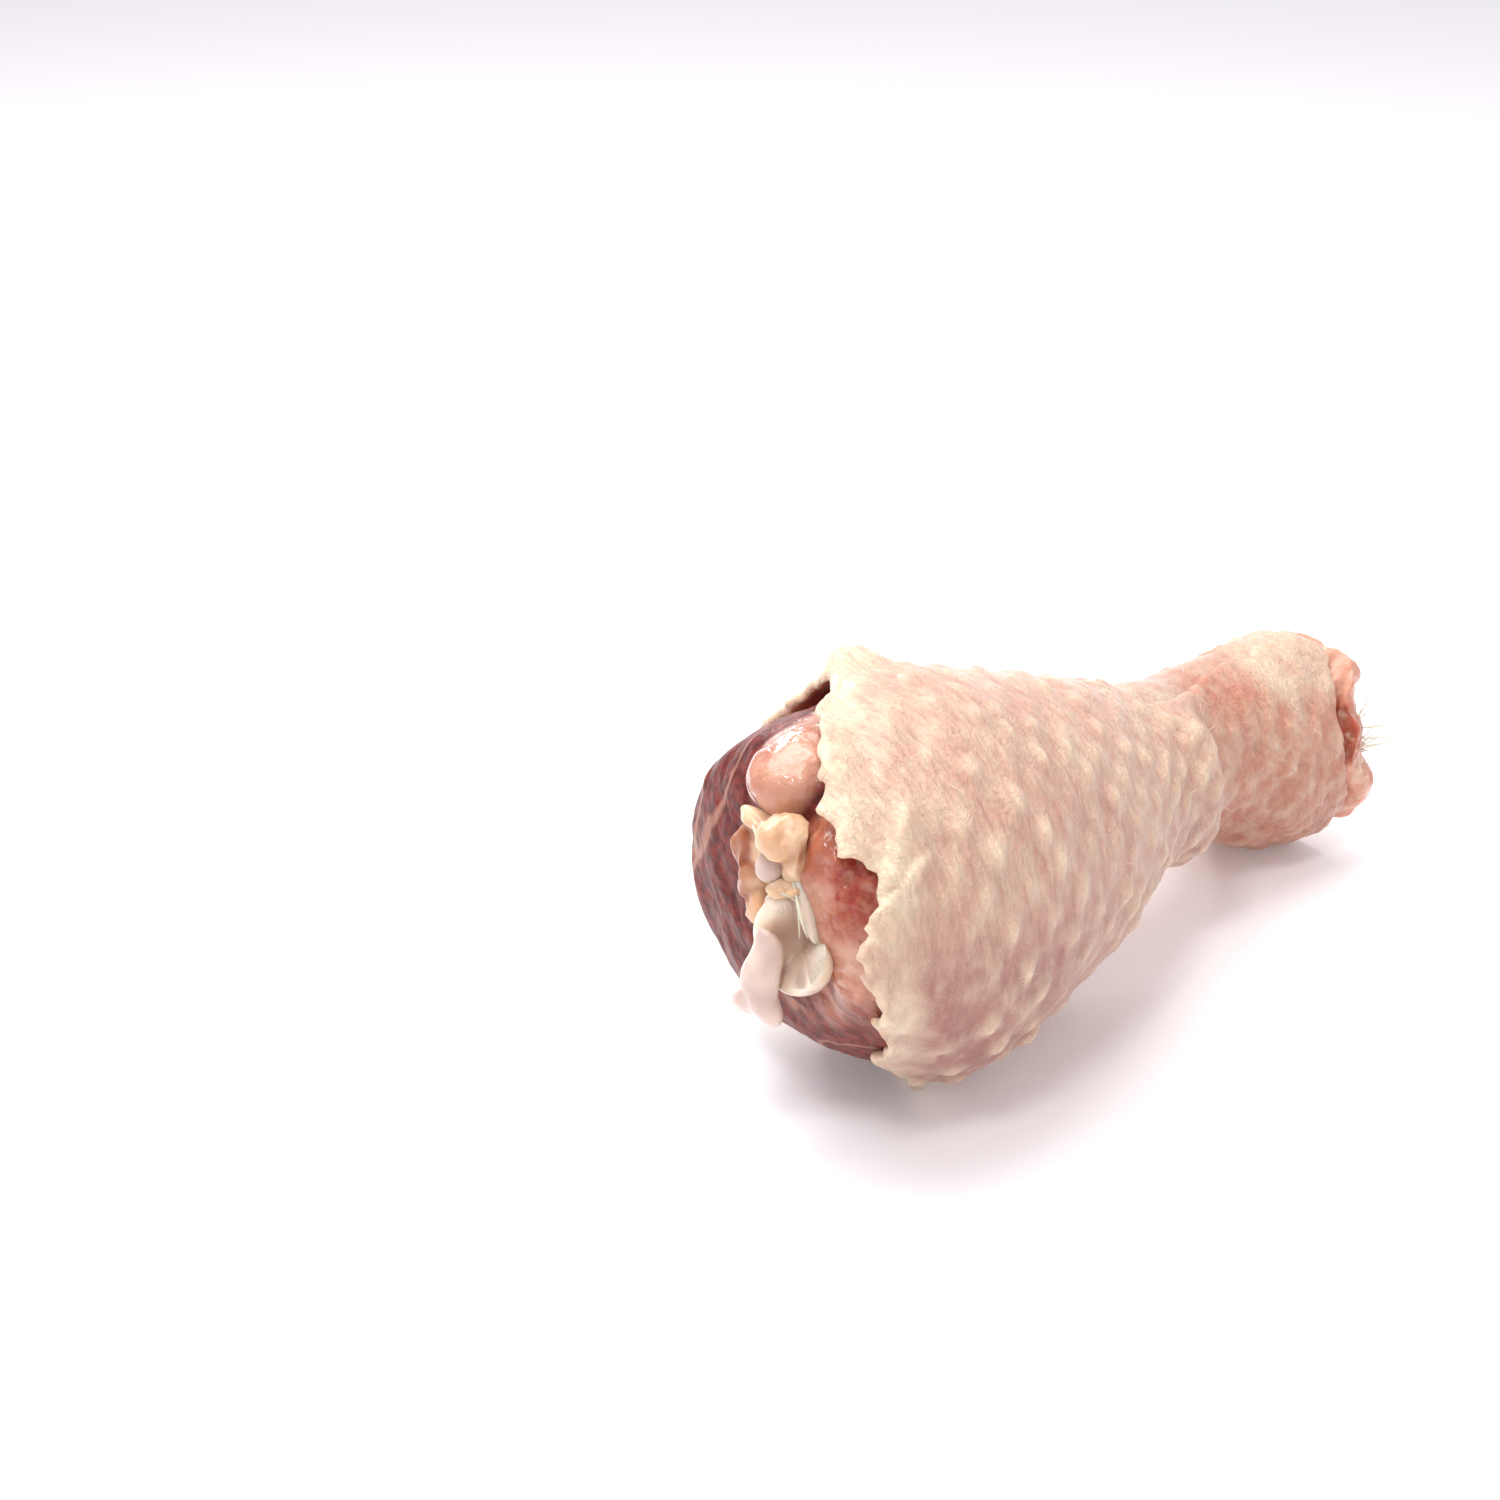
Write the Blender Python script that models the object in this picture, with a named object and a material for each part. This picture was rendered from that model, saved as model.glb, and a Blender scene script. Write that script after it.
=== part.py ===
"""Raw chicken drumstick, lying on its side as it rests on a table.

The leg runs along X: the cut knee end is at -X, the hock joint at +X, and
the side that faces the viewer is -Y. A sleeve of skin holds the muscle, the
shin bone runs through it from the knee to the hock, and pads of fat and
cartilage sit on the knee end. Sizes are in millimetres until a mesh is made.
"""
import math
from typing import Callable, NamedTuple

import bmesh
import bpy
import numpy as np
from mathutils import Euler

MM = 0.001

# The middle of the leg's box, which the origin stands under
MIDDLE_X = 46.38
MIDDLE_Y = 0.80

# Gap between pieces that touch, so that no two solids share space
CLEARANCE = 0.5
# Gap around the lumpy pieces, whose facets stray further from their true shape
LUMP_CLEARANCE = 0.6
KNEE_CLEARANCE = 1.0

# Sections of the leg: place along X, middle across, half width, underside, top
LEG_SECTIONS = (
    (-12.2, 2.6, 22.2, 17.4, 49.6),
    (-3.5, 1.7, 24.4, 8.7, 53.1),
    (3.5, 1.2, 25.6, 3.5, 54.8),
    (10.4, 0.7, 26.0, -0.2, 55.7),
    (17.4, 0.8, 25.7, -0.5, 55.6),
    (29.6, 1.6, 23.9, 2.8, 51.3),
    (41.8, 2.2, 20.8, 6.4, 46.9),
    (52.2, 3.4, 17.3, 10.4, 42.6),
    (60.9, 4.0, 15.0, 12.6, 39.6),
    (67.9, 4.6, 13.2, 12.4, 38.0),
    (73.1, 6.1, 11.7, 11.0, 36.4),
    (80.0, 7.8, 12.2, 7.6, 35.4),
    (90.5, 8.8, 14.6, 1.5, 34.0),
    (97.4, 8.8, 15.1, -0.4, 33.6),
    (102.7, 8.7, 15.2, -0.4, 33.4),
    (107.9, 8.7, 13.9, 1.4, 32.3),
)

# Cut edge of the skin at the knee: degrees around the leg, place along X.
# 0 is the far side, 90 the top, 180 the near side and 270 the underside.
KNEE_EDGE = (
    (0.0, 9.0), (30.0, 10.5), (55.0, 12.0), (66.0, 11.5), (75.0, 7.5), (90.0, 1.0), (108.0, -4.9), (119.0, -7.1),
    (128.0, -7.6), (134.0, -8.3), (139.0, -6.8), (147.0, -6.4), (152.0, -7.2), (157.0, -9.2), (166.0, -10.4),
    (180.0, -10.7), (193.0, -9.3), (211.0, -6.3), (222.0, -3.1), (240.0, 5.2), (253.0, 10.4), (275.0, 10.0),
    (320.0, 8.9), (360.0, 9.0),
)
# The same for the rim at the hock
HOCK_EDGE = (
    (0.0, 102.5), (45.0, 104.5), (90.0, 106.0), (115.0, 104.6), (130.0, 101.8), (150.0, 99.2), (173.0, 99.7),
    (200.0, 102.0), (240.0, 102.8), (300.0, 102.7), (360.0, 102.5),
)
SKIN_THICKNESS = 1.4
SKIN_COLUMNS = 44
SKIN_ROWS = 32
LINING_ROWS = 18

# Curled flap on the skin's upper edge: place along X, degrees, reach of each, height
FLAP_X = 10.4
FLAP_ANGLE = 67.0
FLAP_REACH_X = 4.3
FLAP_REACH_ANGLE = 6.0
FLAP_HEIGHT = 3.5
# Folds of loose skin behind the cut edge, where it wraps the calf
FOLD_PITCH = 7.8
FOLD_HEIGHT = 0.39
FOLD_REACH = 13.9

MEAT_INSET = SKIN_THICKNESS + 0.6
MEAT_HOCK_END = 87.9
HOCK_END_DOMING = 0.008
# Rounded knee end of the muscle: its middle and its three half sizes
KNEE_DOME_CENTRE = (2.0, 0.9, 27.0)
KNEE_DOME_SIZE = (9.5, 26.5, 27.0)

# Shin bone: place along X, middle across, middle height, radius
BONE_AXIS = (
    (-12.2, -3.4, 28.5, 4.4),
    (0.0, -3.0, 28.0, 4.3),
    (10.4, -1.8, 27.2, 3.9),
    (34.8, 1.0, 25.0, 3.4),
    (60.9, 4.0, 22.4, 3.3),
    (78.3, 7.4, 20.0, 3.8),
    (90.5, 8.7, 17.8, 4.9),
    (102.7, 8.7, 17.0, 5.4),
)
BONE_KNEE_END = -9.1
BONE_HOCK_END = 100.5


class Blob(NamedTuple):
    """An ellipsoid in millimetres, turned by degrees about X, Y and Z."""

    centre: tuple[float, float, float]
    size: tuple[float, float, float]
    turn: tuple[float, float, float] = (0.0, 0.0, 0.0)


# Calf muscle head that stands out above: its body, and its round front
CALF_HEAD = (
    Blob((6.0, 3.4, 46.6), (14.0, 6.5, 7.0)),
    Blob((-3.0, 2.4, 47.9), (5.5, 5.2, 5.4)),
)
# Strip of muscle that follows the skin's edge down the near side
SHIN_STRIP = (
    Blob((-2.0, -8.2, 39.4), (7.5, 6.5, 7.5)),
    Blob((-1.0, -11.2, 31.9), (8.0, 7.5, 7.5)),
    Blob((-1.0, -14.5, 25.1), (7.5, 6.5, 6.5)),
    Blob((0.0, -15.9, 18.5), (5.0, 4.5, 4.5)),
    Blob((-1.0, -13.8, 37.2), (6.5, 5.5, 8.0)),
)

# White head of the shin bone: its core, the ridges either side of the dish, and the knobs below it
BONE_HEAD = (
    Blob((-7.0, -3.4, 28.5), (4.6, 4.2, 6.6)),
    Blob((-10.0, -3.9, 34.1), (2.2, 1.7, 2.4)),
    Blob((-11.0, -2.7, 30.7), (2.2, 1.5, 3.2)),
    Blob((-9.5, -7.3, 34.4), (2.2, 1.5, 4.6)),
    Blob((-8.8, -7.2, 28.0), (3.4, 3.8, 4.2)),
    Blob((-11.0, -10.4, 29.4), (2.8, 2.6, 3.2)),
    Blob((-10.5, -7.3, 25.9), (2.6, 3.0, 1.9)),
)
# The dish that the thigh bone sat in
BONE_DISH = Blob((-11.0, -6.4, 31.2), (3.2, 1.8, 4.2))

FAT_LUMPS = (
    Blob((-6.3, 1.2, 39.0), (3.4, 4.6, 5.2)),
    Blob((-9.5, -3.5, 43.4), (3.2, 2.9, 2.9)),
    Blob((-8.5, 2.9, 43.0), (1.4, 2.6, 1.3), (18.0, 0.0, 0.0)),
    Blob((-8.0, 4.3, 38.5), (2.2, 2.0, 2.8)),
    Blob((-8.5, 2.7, 34.8), (2.2, 2.0, 3.4)),
    Blob((-9.0, 1.0, 31.8), (2.0, 1.8, 2.4)),
    Blob((-9.0, -5.2, 40.4), (1.9, 1.6, 3.2)),
)
FIBULA_HEAD = (Blob((-10.5, -2.6, 39.7), (2.2, 1.8, 2.3)),)

# Tongue of torn joint cartilage that hangs in front of the bone, with a flared foot
CARTILAGE_TONGUE = (
    Blob((-13.5, -5.1, 30.0), (1.4, 2.2, 3.0)),
    Blob((-14.5, -5.4, 26.5), (1.5, 3.1, 3.4)),
    Blob((-15.0, -2.9, 22.1), (1.6, 2.4, 1.7), (-15.0, 0.0, 0.0)),
    Blob((-15.0, -7.1, 23.0), (1.5, 2.2, 2.4)),
)

# Tendon and fat that fill the cut hock joint: a core, then the upper, lower, middle and far lobes
HOCK_INNER_END = 88.3
# The filling's flat face, from which the lobes stand out
HOCK_FACE = 102.0
HOCK_LOBES = (
    Blob((104.0, 2.0, 28.3), (5.5, 4.5, 5.5)),
    Blob((104.0, -2.6, 11.3), (5.5, 4.6, 6.6)),
    Blob((102.8, -1.0, 20.3), (5.0, 4.8, 6.5)),
    Blob((104.6, 9.5, 28.9), (4.6, 7.2, 5.0)),
    Blob((100.5, 15.5, 17.4), (6.5, 6.0, 9.5)),
)
# Past the skin's rim the lobes may swell by this much, over this length, from this far past it
RIM_SWELL = 3.0
RIM_SWELL_LENGTH = 2.6
RIM_SWELL_START = 1.1

Field = Callable[[np.ndarray], np.ndarray]


def follow(table: tuple, place: np.ndarray) -> np.ndarray:
    """Read a table at any place, with a smooth curve through its rows.

    Args:
        table: rows that start with the place and go on with the values there.
        place: where to read it; outside the table its end row holds.

    Returns:
        The values, in a last axis added to the shape of place.
    """
    rows = np.array(table, float)
    stops, values = rows[:, 0], rows[:, 1:]
    slopes = np.gradient(values, stops, axis=0)
    place = np.clip(np.asarray(place, float), stops[0], stops[-1])
    at = np.clip(np.searchsorted(stops, place) - 1, 0, len(stops) - 2)
    gap = (stops[at + 1] - stops[at])[..., None]
    t = (place[..., None] - stops[at][..., None]) / gap
    start = (2 * t**3 - 3 * t**2 + 1) * values[at] + (t**3 - 2 * t**2 + t) * gap * slopes[at]
    finish = (3 * t**2 - 2 * t**3) * values[at + 1] + (t**3 - t**2) * gap * slopes[at + 1]
    return start + finish


def leg_surface(along: np.ndarray, angle: np.ndarray, inset: np.ndarray) -> np.ndarray:
    """Points of the leg's outline: an ellipse at each place along X, flat where it meets the table.

    Args:
        along: place along X.
        angle: degrees around the leg.
        inset: depth under the outer skin; less than 0 is proud of it.
    """
    middle, half_width, underside, top = np.moveaxis(follow(LEG_SECTIONS, along), -1, 0)
    turn = np.radians(angle)
    across = middle + (half_width - inset) * np.cos(turn)
    height = (underside + top) / 2 + ((top - underside) / 2 - inset) * np.sin(turn)
    return np.stack([along, across, np.maximum(height, np.maximum(inset, 0.0))], -1)


def leg_depth(points: np.ndarray, inset: float) -> np.ndarray:
    """How far points lie outside the leg's outline, inset by that much; less than 0 is inside."""
    middle, half_width, underside, top = np.moveaxis(follow(LEG_SECTIONS, points[..., 0]), -1, 0)
    wide = half_width - inset
    tall = (top - underside) / 2 - inset
    across = (points[..., 1] - middle) / wide
    height = (points[..., 2] - (underside + top) / 2) / tall
    round_side = (np.hypot(across, height) - 1) * np.minimum(wide, tall)
    return np.maximum(round_side, inset - points[..., 2])


def blob_depth(points: np.ndarray, blob: Blob) -> np.ndarray:
    """About how far points lie outside an ellipsoid; less than 0 is inside."""
    turn = np.array(Euler([math.radians(a) for a in blob.turn]).to_matrix())
    local = (points - np.array(blob.centre)) @ turn
    near = np.linalg.norm(local / np.array(blob.size), axis=-1)
    slope = np.linalg.norm(local / np.array(blob.size) ** 2, axis=-1)
    return near * (near - 1) / np.maximum(slope, 1e-6)


def merged(depths: list[np.ndarray], softness: float) -> np.ndarray:
    """Join shapes into one, with the creases between them filled by softness millimetres."""
    stack = np.stack(depths)
    lowest = stack.min(axis=0)
    return lowest - softness * np.log(np.exp((lowest - stack) / softness).sum(axis=0))


def blobs_depth(points: np.ndarray, blobs: tuple, softness: float) -> np.ndarray:
    """The depth of several ellipsoids that run into each other."""
    return merged([blob_depth(points, blob) for blob in blobs], softness)


def meat_depth(points: np.ndarray) -> np.ndarray:
    """The muscle: a domed core under the skin, with the muscle heads that stand out of its knee end."""
    half = np.array(KNEE_DOME_SIZE)
    offset = points - np.array(KNEE_DOME_CENTRE)
    offset[..., 0] = np.minimum(offset[..., 0], 0.0)
    dome = (np.linalg.norm(offset / half, axis=-1) - 1) * half.min()
    heads = merged([dome, blobs_depth(points, CALF_HEAD, 1.0), blobs_depth(points, SHIN_STRIP, 1.5)], 0.8)
    inside_skin = leg_depth(points, MEAT_INSET)
    from_axis = (points[..., 1] - 8.7) ** 2 + (points[..., 2] - 17.4) ** 2
    past_end = points[..., 0] - MEAT_HOCK_END + HOCK_END_DOMING * from_axis
    return np.maximum(np.maximum(heads, inside_skin), past_end)


def full_bone_depth(points: np.ndarray) -> np.ndarray:
    """The shin bone before its dish: a shaft that thickens to both ends, and a knobbed head."""
    across, height, radius = np.moveaxis(follow(BONE_AXIS, points[..., 0]), -1, 0)
    shaft = np.hypot(points[..., 1] - across, points[..., 2] - height) - radius
    shaft = np.maximum(shaft, BONE_KNEE_END - points[..., 0])
    past = np.maximum(points[..., 0] - BONE_HOCK_END, 0.0)
    shaft = shaft + past * 0.9
    return merged([shaft, blobs_depth(points, BONE_HEAD, 0.7)], 0.7)


def bone_depth(points: np.ndarray) -> np.ndarray:
    """The shin bone, with the dish in its head."""
    return np.maximum(full_bone_depth(points), -blob_depth(points, BONE_DISH))


def fat_depth(points: np.ndarray) -> np.ndarray:
    """The pad of fat in lumps, on the knee end beside the bone."""
    return blobs_depth(points, FAT_LUMPS, 0.9)


def fibula_depth(points: np.ndarray) -> np.ndarray:
    """The small bone's rounded head, which shows between the lumps of fat."""
    return blobs_depth(points, FIBULA_HEAD, 0.5)


def knee_cluster_depth(points: np.ndarray) -> np.ndarray:
    """Everything that sits in the muscle's knee end, run together so that no thin wedge stays between."""
    return merged([blobs_depth(points, BONE_HEAD, 0.7), fat_depth(points), fibula_depth(points)], 1.0)


def cartilage_depth(points: np.ndarray) -> np.ndarray:
    """The hanging tongue of cartilage, with a narrow waist and a flared foot."""
    return blobs_depth(points, CARTILAGE_TONGUE, 0.9)


def hock_depth(points: np.ndarray) -> np.ndarray:
    """The filling of the hock joint: kept inside the skin, swelling past its rim, cut flat where the muscle ends."""
    lobes = merged([blobs_depth(points, HOCK_LOBES, 1.0), points[..., 0] - HOCK_FACE], 1.0)
    angle = np.degrees(np.arctan2(points[..., 2] - 16.6, points[..., 1] - 8.7)) % 360.0
    past_rim = (points[..., 0] - follow(HOCK_EDGE, angle)[..., 0] - RIM_SWELL_START) / RIM_SWELL_LENGTH
    inside_skin = leg_depth(points, MEAT_INSET) - RIM_SWELL * np.clip(past_rim, 0.0, 1.0)
    return np.maximum(np.maximum(lobes, inside_skin), HOCK_INNER_END - points[..., 0])


def first_exit(field: Field, start: np.ndarray, aim: np.ndarray, reach: float) -> np.ndarray:
    """Where rays from inside a shape first leave it.

    Args:
        field: the shape, as the depth of points in it.
        start: where each ray starts, inside the shape.
        aim: the direction of each ray, one millimetre long.
        reach: a length that ends outside the shape.
    """
    steps = np.linspace(0.0, reach, 120)
    depths = np.stack([field(start + aim * step) for step in steps])
    first_outside = np.maximum(np.argmax(depths[1:] >= 0, axis=0) + 1, 1)
    near = steps[first_outside - 1]
    far = steps[first_outside]
    for _ in range(18):
        middle = (near + far) / 2
        inside = field(start + aim * middle[..., None]) < 0
        near = np.where(inside, middle, near)
        far = np.where(inside, far, middle)
    return start + aim * near[..., None]


def shell(field: Field, first: tuple, last: tuple, columns: int, rows: tuple[int, int, int],
          reach: float) -> tuple[np.ndarray, tuple[np.ndarray, np.ndarray]]:
    """Wrap a shape in rings, with rays that leave a line from first to last and fan out past its ends.

    Args:
        field: the shape, as the depth of points in it.
        first: where the line starts, inside the shape.
        last: where it ends.
        columns: points in each ring.
        rows: rings before the line, along it and past it.
        reach: longest ray.

    Returns:
        The rings, and the two tips that close them.
    """
    first, last = np.array(first, float), np.array(last, float)
    axis = (last - first) / np.linalg.norm(last - first)
    side = np.cross((0.0, 0.0, 1.0), axis)
    side /= np.linalg.norm(side)
    up = np.cross(axis, side)
    around = np.linspace(0.0, 2 * math.pi, columns, endpoint=False)[None, :, None]
    outward = np.cos(around) * side + np.sin(around) * up
    open_fan = np.radians(np.linspace(0.0, 90.0, rows[0] + 1))[1:, None, None]
    close_fan = np.radians(np.linspace(90.0, 0.0, rows[2] + 1))[:-1, None, None]
    before = -np.cos(open_fan) * axis + np.sin(open_fan) * outward
    after = np.cos(close_fan) * axis + np.sin(close_fan) * outward
    share = np.linspace(0.0, 1.0, rows[1] + 2)[1:-1, None, None]
    between = first + share * (last - first) + 0 * outward
    start = np.concatenate([0 * before + first, between, 0 * after + last])
    aim = np.concatenate([before, 0 * between + outward, after])
    rings = first_exit(field, start, aim, reach)
    tips = first_exit(field, np.stack([first, last]), np.stack([-axis, axis]), reach)
    return rings, (tips[0], tips[1])


def grown(field: Field, by: float) -> Field:
    """The same shape, with its surface moved outwards."""
    return lambda points: field(points) - by


def finish(name: str, mesh: bpy.types.Mesh, material: bpy.types.Material | None,
           parent: bpy.types.Object) -> bpy.types.Object:
    """Turn the faces outwards, shade them smooth and put the mesh in the scene."""
    edit = bmesh.new()
    edit.from_mesh(mesh)
    bmesh.ops.recalc_face_normals(edit, faces=edit.faces)
    edit.to_mesh(mesh)
    edit.free()
    mesh.shade_smooth()
    piece = bpy.data.objects.new(name, mesh)
    bpy.context.collection.objects.link(piece)
    piece.parent = parent
    if material is not None:
        mesh.materials.append(material)
    return piece


def closed_rings(name: str, rings: np.ndarray, tips: tuple | None) -> bpy.types.Mesh:
    """Mesh from rings of points: capped by two tips, or joined end to end where there are none."""
    rows, columns = rings.shape[:2]
    points = rings.reshape(-1, 3)
    last_row = rows if tips is None else rows - 1
    faces = []
    for row in range(last_row):
        for column in range(columns):
            turned = (column + 1) % columns
            below = (row + 1) % rows
            faces.append((row * columns + column, row * columns + turned,
                          below * columns + turned, below * columns + column))
    if tips is not None:
        points = np.vstack([points, tips[0], tips[1]])
        for column in range(columns):
            turned = (column + 1) % columns
            faces.append((rows * columns, turned, column))
            faces.append((rows * columns + 1, (rows - 1) * columns + column, (rows - 1) * columns + turned))
    mesh = bpy.data.meshes.new(name)
    mesh.from_pydata((points * MM).tolist(), [], faces)
    return mesh


def skin_rise(along: np.ndarray, angle: np.ndarray, knee: np.ndarray) -> np.ndarray:
    """How far the skin stands off the leg's outline: the curled flap and the folds behind the edge."""
    flap = np.exp(-((along - FLAP_X) / FLAP_REACH_X) ** 2 - ((angle - FLAP_ANGLE) / FLAP_REACH_ANGLE) ** 2)
    behind = np.exp(-(along - knee) / FOLD_REACH)
    folds = np.sin((along + 0.22 * angle) * 2 * math.pi / FOLD_PITCH)
    on_top = np.clip(np.sin(np.radians(angle)) + 0.6, 0.0, 1.0)
    return FLAP_HEIGHT * flap + FOLD_HEIGHT * behind * folds * on_top


def build_skin(parent: bpy.types.Object, material: bpy.types.Material) -> bpy.types.Object:
    """The sleeve of skin: an outer surface and its lining, joined along both cut edges."""
    angle = np.linspace(0.0, 360.0, SKIN_COLUMNS, endpoint=False)[None, :]
    knee = follow(KNEE_EDGE, angle)[..., 0]
    hock = follow(HOCK_EDGE, angle)[..., 0]
    out_share = np.linspace(0.0, 1.0, SKIN_ROWS)[:, None]
    in_share = np.linspace(1.0, 0.0, LINING_ROWS)[:, None]
    outer_x = knee + (hock - knee) * out_share
    inner_x = knee + (hock - knee) * in_share
    around_out = angle + 0 * outer_x
    outer = leg_surface(outer_x, around_out, -skin_rise(outer_x, around_out, knee))
    inner = leg_surface(inner_x, angle + 0 * inner_x, SKIN_THICKNESS + 0 * inner_x)
    mesh = closed_rings("skin", np.concatenate([outer, inner]), None)
    return finish("skin", mesh, material, parent)


def cut_away(piece: bpy.types.Object, cutters: list[bpy.types.Object]) -> None:
    """Take the cutters out of a piece."""
    for cutter in cutters:
        cut = piece.modifiers.new("room for " + cutter.name, "BOOLEAN")
        cut.operation = "DIFFERENCE"
        cut.object = cutter


def build_bone(parent: bpy.types.Object, material: bpy.types.Material) -> tuple:
    """The shin bone, and a slightly larger copy that makes room for it."""
    made = []
    room = grown(full_bone_depth, CLEARANCE)
    for name, field, finish_material in (("bone", bone_depth, material), ("bone_room", room, None)):
        rings, tips = shell(field, (-8.0, -5.0, 28.8), (97.4, 8.7, 17.1), 24, (10, 12, 4), 22.0)
        made.append(finish(name, closed_rings(name, rings, tips), finish_material, parent))
    return made[0], as_cutter(made[1])


def build_lump(name: str, field: Field, first: tuple, last: tuple, columns: int, cap_rows: int,
               parent: bpy.types.Object, material: bpy.types.Material) -> tuple:
    """A small rounded piece, and a slightly larger copy that makes room for it."""
    made = []
    for part_name, by, finish_material in ((name, 0.0, material), (name + "_room", LUMP_CLEARANCE, None)):
        rings, tips = shell(grown(field, by), first, last, columns, (cap_rows, 2, cap_rows), 24.0)
        made.append(finish(part_name, closed_rings(part_name, rings, tips), finish_material, parent))
    return made[0], as_cutter(made[1])


def as_cutter(piece: bpy.types.Object) -> bpy.types.Object:
    """Mark an object as a helper that only cuts others."""
    piece.hide_render = True
    piece.display_type = "WIRE"
    return piece


def build_meat(parent: bpy.types.Object, material: bpy.types.Material) -> bpy.types.Object:
    """The muscle, from its domed knee end to the hock."""
    rings, tips = shell(meat_depth, (12.2, 0.9, 29.6), (84.4, 8.4, 18.7), 40, (16, 11, 3), 62.0)
    return finish("meat", closed_rings("meat", rings, tips), material, parent)


def make_material(name: str, colour: tuple[float, float, float], roughness: float) -> bpy.types.Material:
    """A plain moist surface in one colour."""
    material = bpy.data.materials.new(name)
    material.use_nodes = True
    shader = material.node_tree.nodes["Principled BSDF"]
    shader.inputs["Base Color"].default_value = (*colour, 1.0)
    shader.inputs["Roughness"].default_value = roughness
    shader.inputs["Metallic"].default_value = 0.0
    material.diffuse_color = (*colour, 1.0)
    return material


def main() -> None:
    """Build the drumstick."""
    for old in list(bpy.data.objects):
        bpy.data.objects.remove(old, do_unlink=True)

    leg = bpy.data.objects.new("drumstick", None)
    bpy.context.collection.objects.link(leg)
    leg.location = (-MIDDLE_X * MM, -MIDDLE_Y * MM, 0.0)

    skin_finish = make_material("raw_skin", (0.72, 0.46, 0.34), 0.45)
    meat_finish = make_material("raw_muscle", (0.55, 0.16, 0.11), 0.25)
    bone_finish = make_material("bone_and_cartilage", (0.86, 0.79, 0.70), 0.3)
    fat_finish = make_material("raw_fat", (0.83, 0.60, 0.34), 0.35)
    tissue_finish = make_material("hock_tendon", (0.74, 0.36, 0.26), 0.35)

    build_skin(leg, skin_finish)
    bone, bone_room = build_bone(leg, bone_finish)
    fibula, fibula_room = build_lump(
        "fibula_head", fibula_depth, (-11.0, -2.6, 39.7), (-10.0, -2.6, 39.7), 14, 5, leg, bone_finish)
    tongue, _ = build_lump(
        "knee_cartilage", cartilage_depth, (-13.8, -5.2, 29.4), (-14.8, -5.3, 24.4), 18, 6, leg, bone_finish)
    fat, _ = build_lump(
        "fat_pad", fat_depth, (-6.8, 1.9, 38.2), (-8.2, -1.6, 42.0), 26, 9, leg, fat_finish)
    rings, tips = shell(hock_depth, (91.5, 8.7, 17.2), (94.5, 7.5, 18.0), 34, (3, 2, 13), 30.0)
    tissue = finish("hock_tissue", closed_rings("hock_tissue", rings, tips), tissue_finish, leg)
    meat = build_meat(leg, meat_finish)
    rings, tips = shell(
        grown(knee_cluster_depth, KNEE_CLEARANCE), (-7.0, -3.0, 29.0), (-7.2, 0.6, 38.5), 28, (9, 4, 9), 24.0)
    knee_room = as_cutter(finish("knee_room", closed_rings("knee_room", rings, tips), None, leg))

    cut_away(fibula, [bone_room])
    cut_away(tongue, [bone_room])
    cut_away(fat, [bone_room, fibula_room])
    cut_away(tissue, [bone_room])
    cut_away(meat, [bone_room, knee_room])


main()
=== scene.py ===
"""Raw chicken drumstick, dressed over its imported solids.

The leg lies along X with its cut knee end at -X and the hock at +X. Shapes are
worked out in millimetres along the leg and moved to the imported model's frame
when a mesh is made.
"""
import logging
import math
from dataclasses import dataclass, field
from enum import Enum
from typing import Callable, NamedTuple

import bpy
import numpy as np
from mathutils import Euler, Matrix, Vector


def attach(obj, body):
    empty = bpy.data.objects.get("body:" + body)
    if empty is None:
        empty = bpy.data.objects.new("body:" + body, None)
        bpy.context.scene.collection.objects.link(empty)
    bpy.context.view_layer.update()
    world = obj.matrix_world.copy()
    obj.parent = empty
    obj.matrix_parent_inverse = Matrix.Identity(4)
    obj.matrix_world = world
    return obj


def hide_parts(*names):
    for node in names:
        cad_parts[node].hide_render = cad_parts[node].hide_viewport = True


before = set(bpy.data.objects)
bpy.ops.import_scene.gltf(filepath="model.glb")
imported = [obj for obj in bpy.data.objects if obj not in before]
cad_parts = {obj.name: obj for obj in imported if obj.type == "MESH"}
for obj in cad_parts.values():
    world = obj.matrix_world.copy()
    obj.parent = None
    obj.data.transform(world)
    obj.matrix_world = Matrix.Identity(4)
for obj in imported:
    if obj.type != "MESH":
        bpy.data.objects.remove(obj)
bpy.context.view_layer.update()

MM = 0.001
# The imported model's origin, in millimetres along the leg
ORIGIN = np.array((46.38, 0.8, 0.0))
LOG = logging.getLogger("drumstick")

# How strongly raw tissue and the film of juice on it bend light
TISSUE_IOR = 1.38
JUICE_IOR = 1.34

# Sections of the leg: place along X, middle across, half width, underside, top
LEG_SECTIONS = (
    (-12.2, 2.6, 22.2, 17.4, 49.6),
    (-3.5, 1.7, 24.4, 8.7, 53.1),
    (3.5, 1.2, 25.6, 3.5, 54.8),
    (10.4, 0.7, 26.0, -0.2, 55.7),
    (17.4, 0.8, 25.7, -0.5, 55.6),
    (29.6, 1.6, 23.9, 2.8, 51.3),
    (41.8, 2.2, 20.8, 6.4, 46.9),
    (52.2, 3.4, 17.3, 10.4, 42.6),
    (60.9, 4.0, 15.0, 12.6, 39.6),
    (67.9, 4.6, 13.2, 12.4, 38.0),
    (73.1, 6.1, 11.7, 11.0, 36.4),
    (80.0, 7.8, 12.2, 7.6, 35.4),
    (90.5, 8.8, 14.6, 1.5, 34.0),
    (97.4, 8.8, 15.1, -0.4, 33.6),
    (102.7, 8.7, 15.2, -0.4, 33.4),
    (107.9, 8.7, 13.9, 1.4, 32.3),
)

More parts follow.
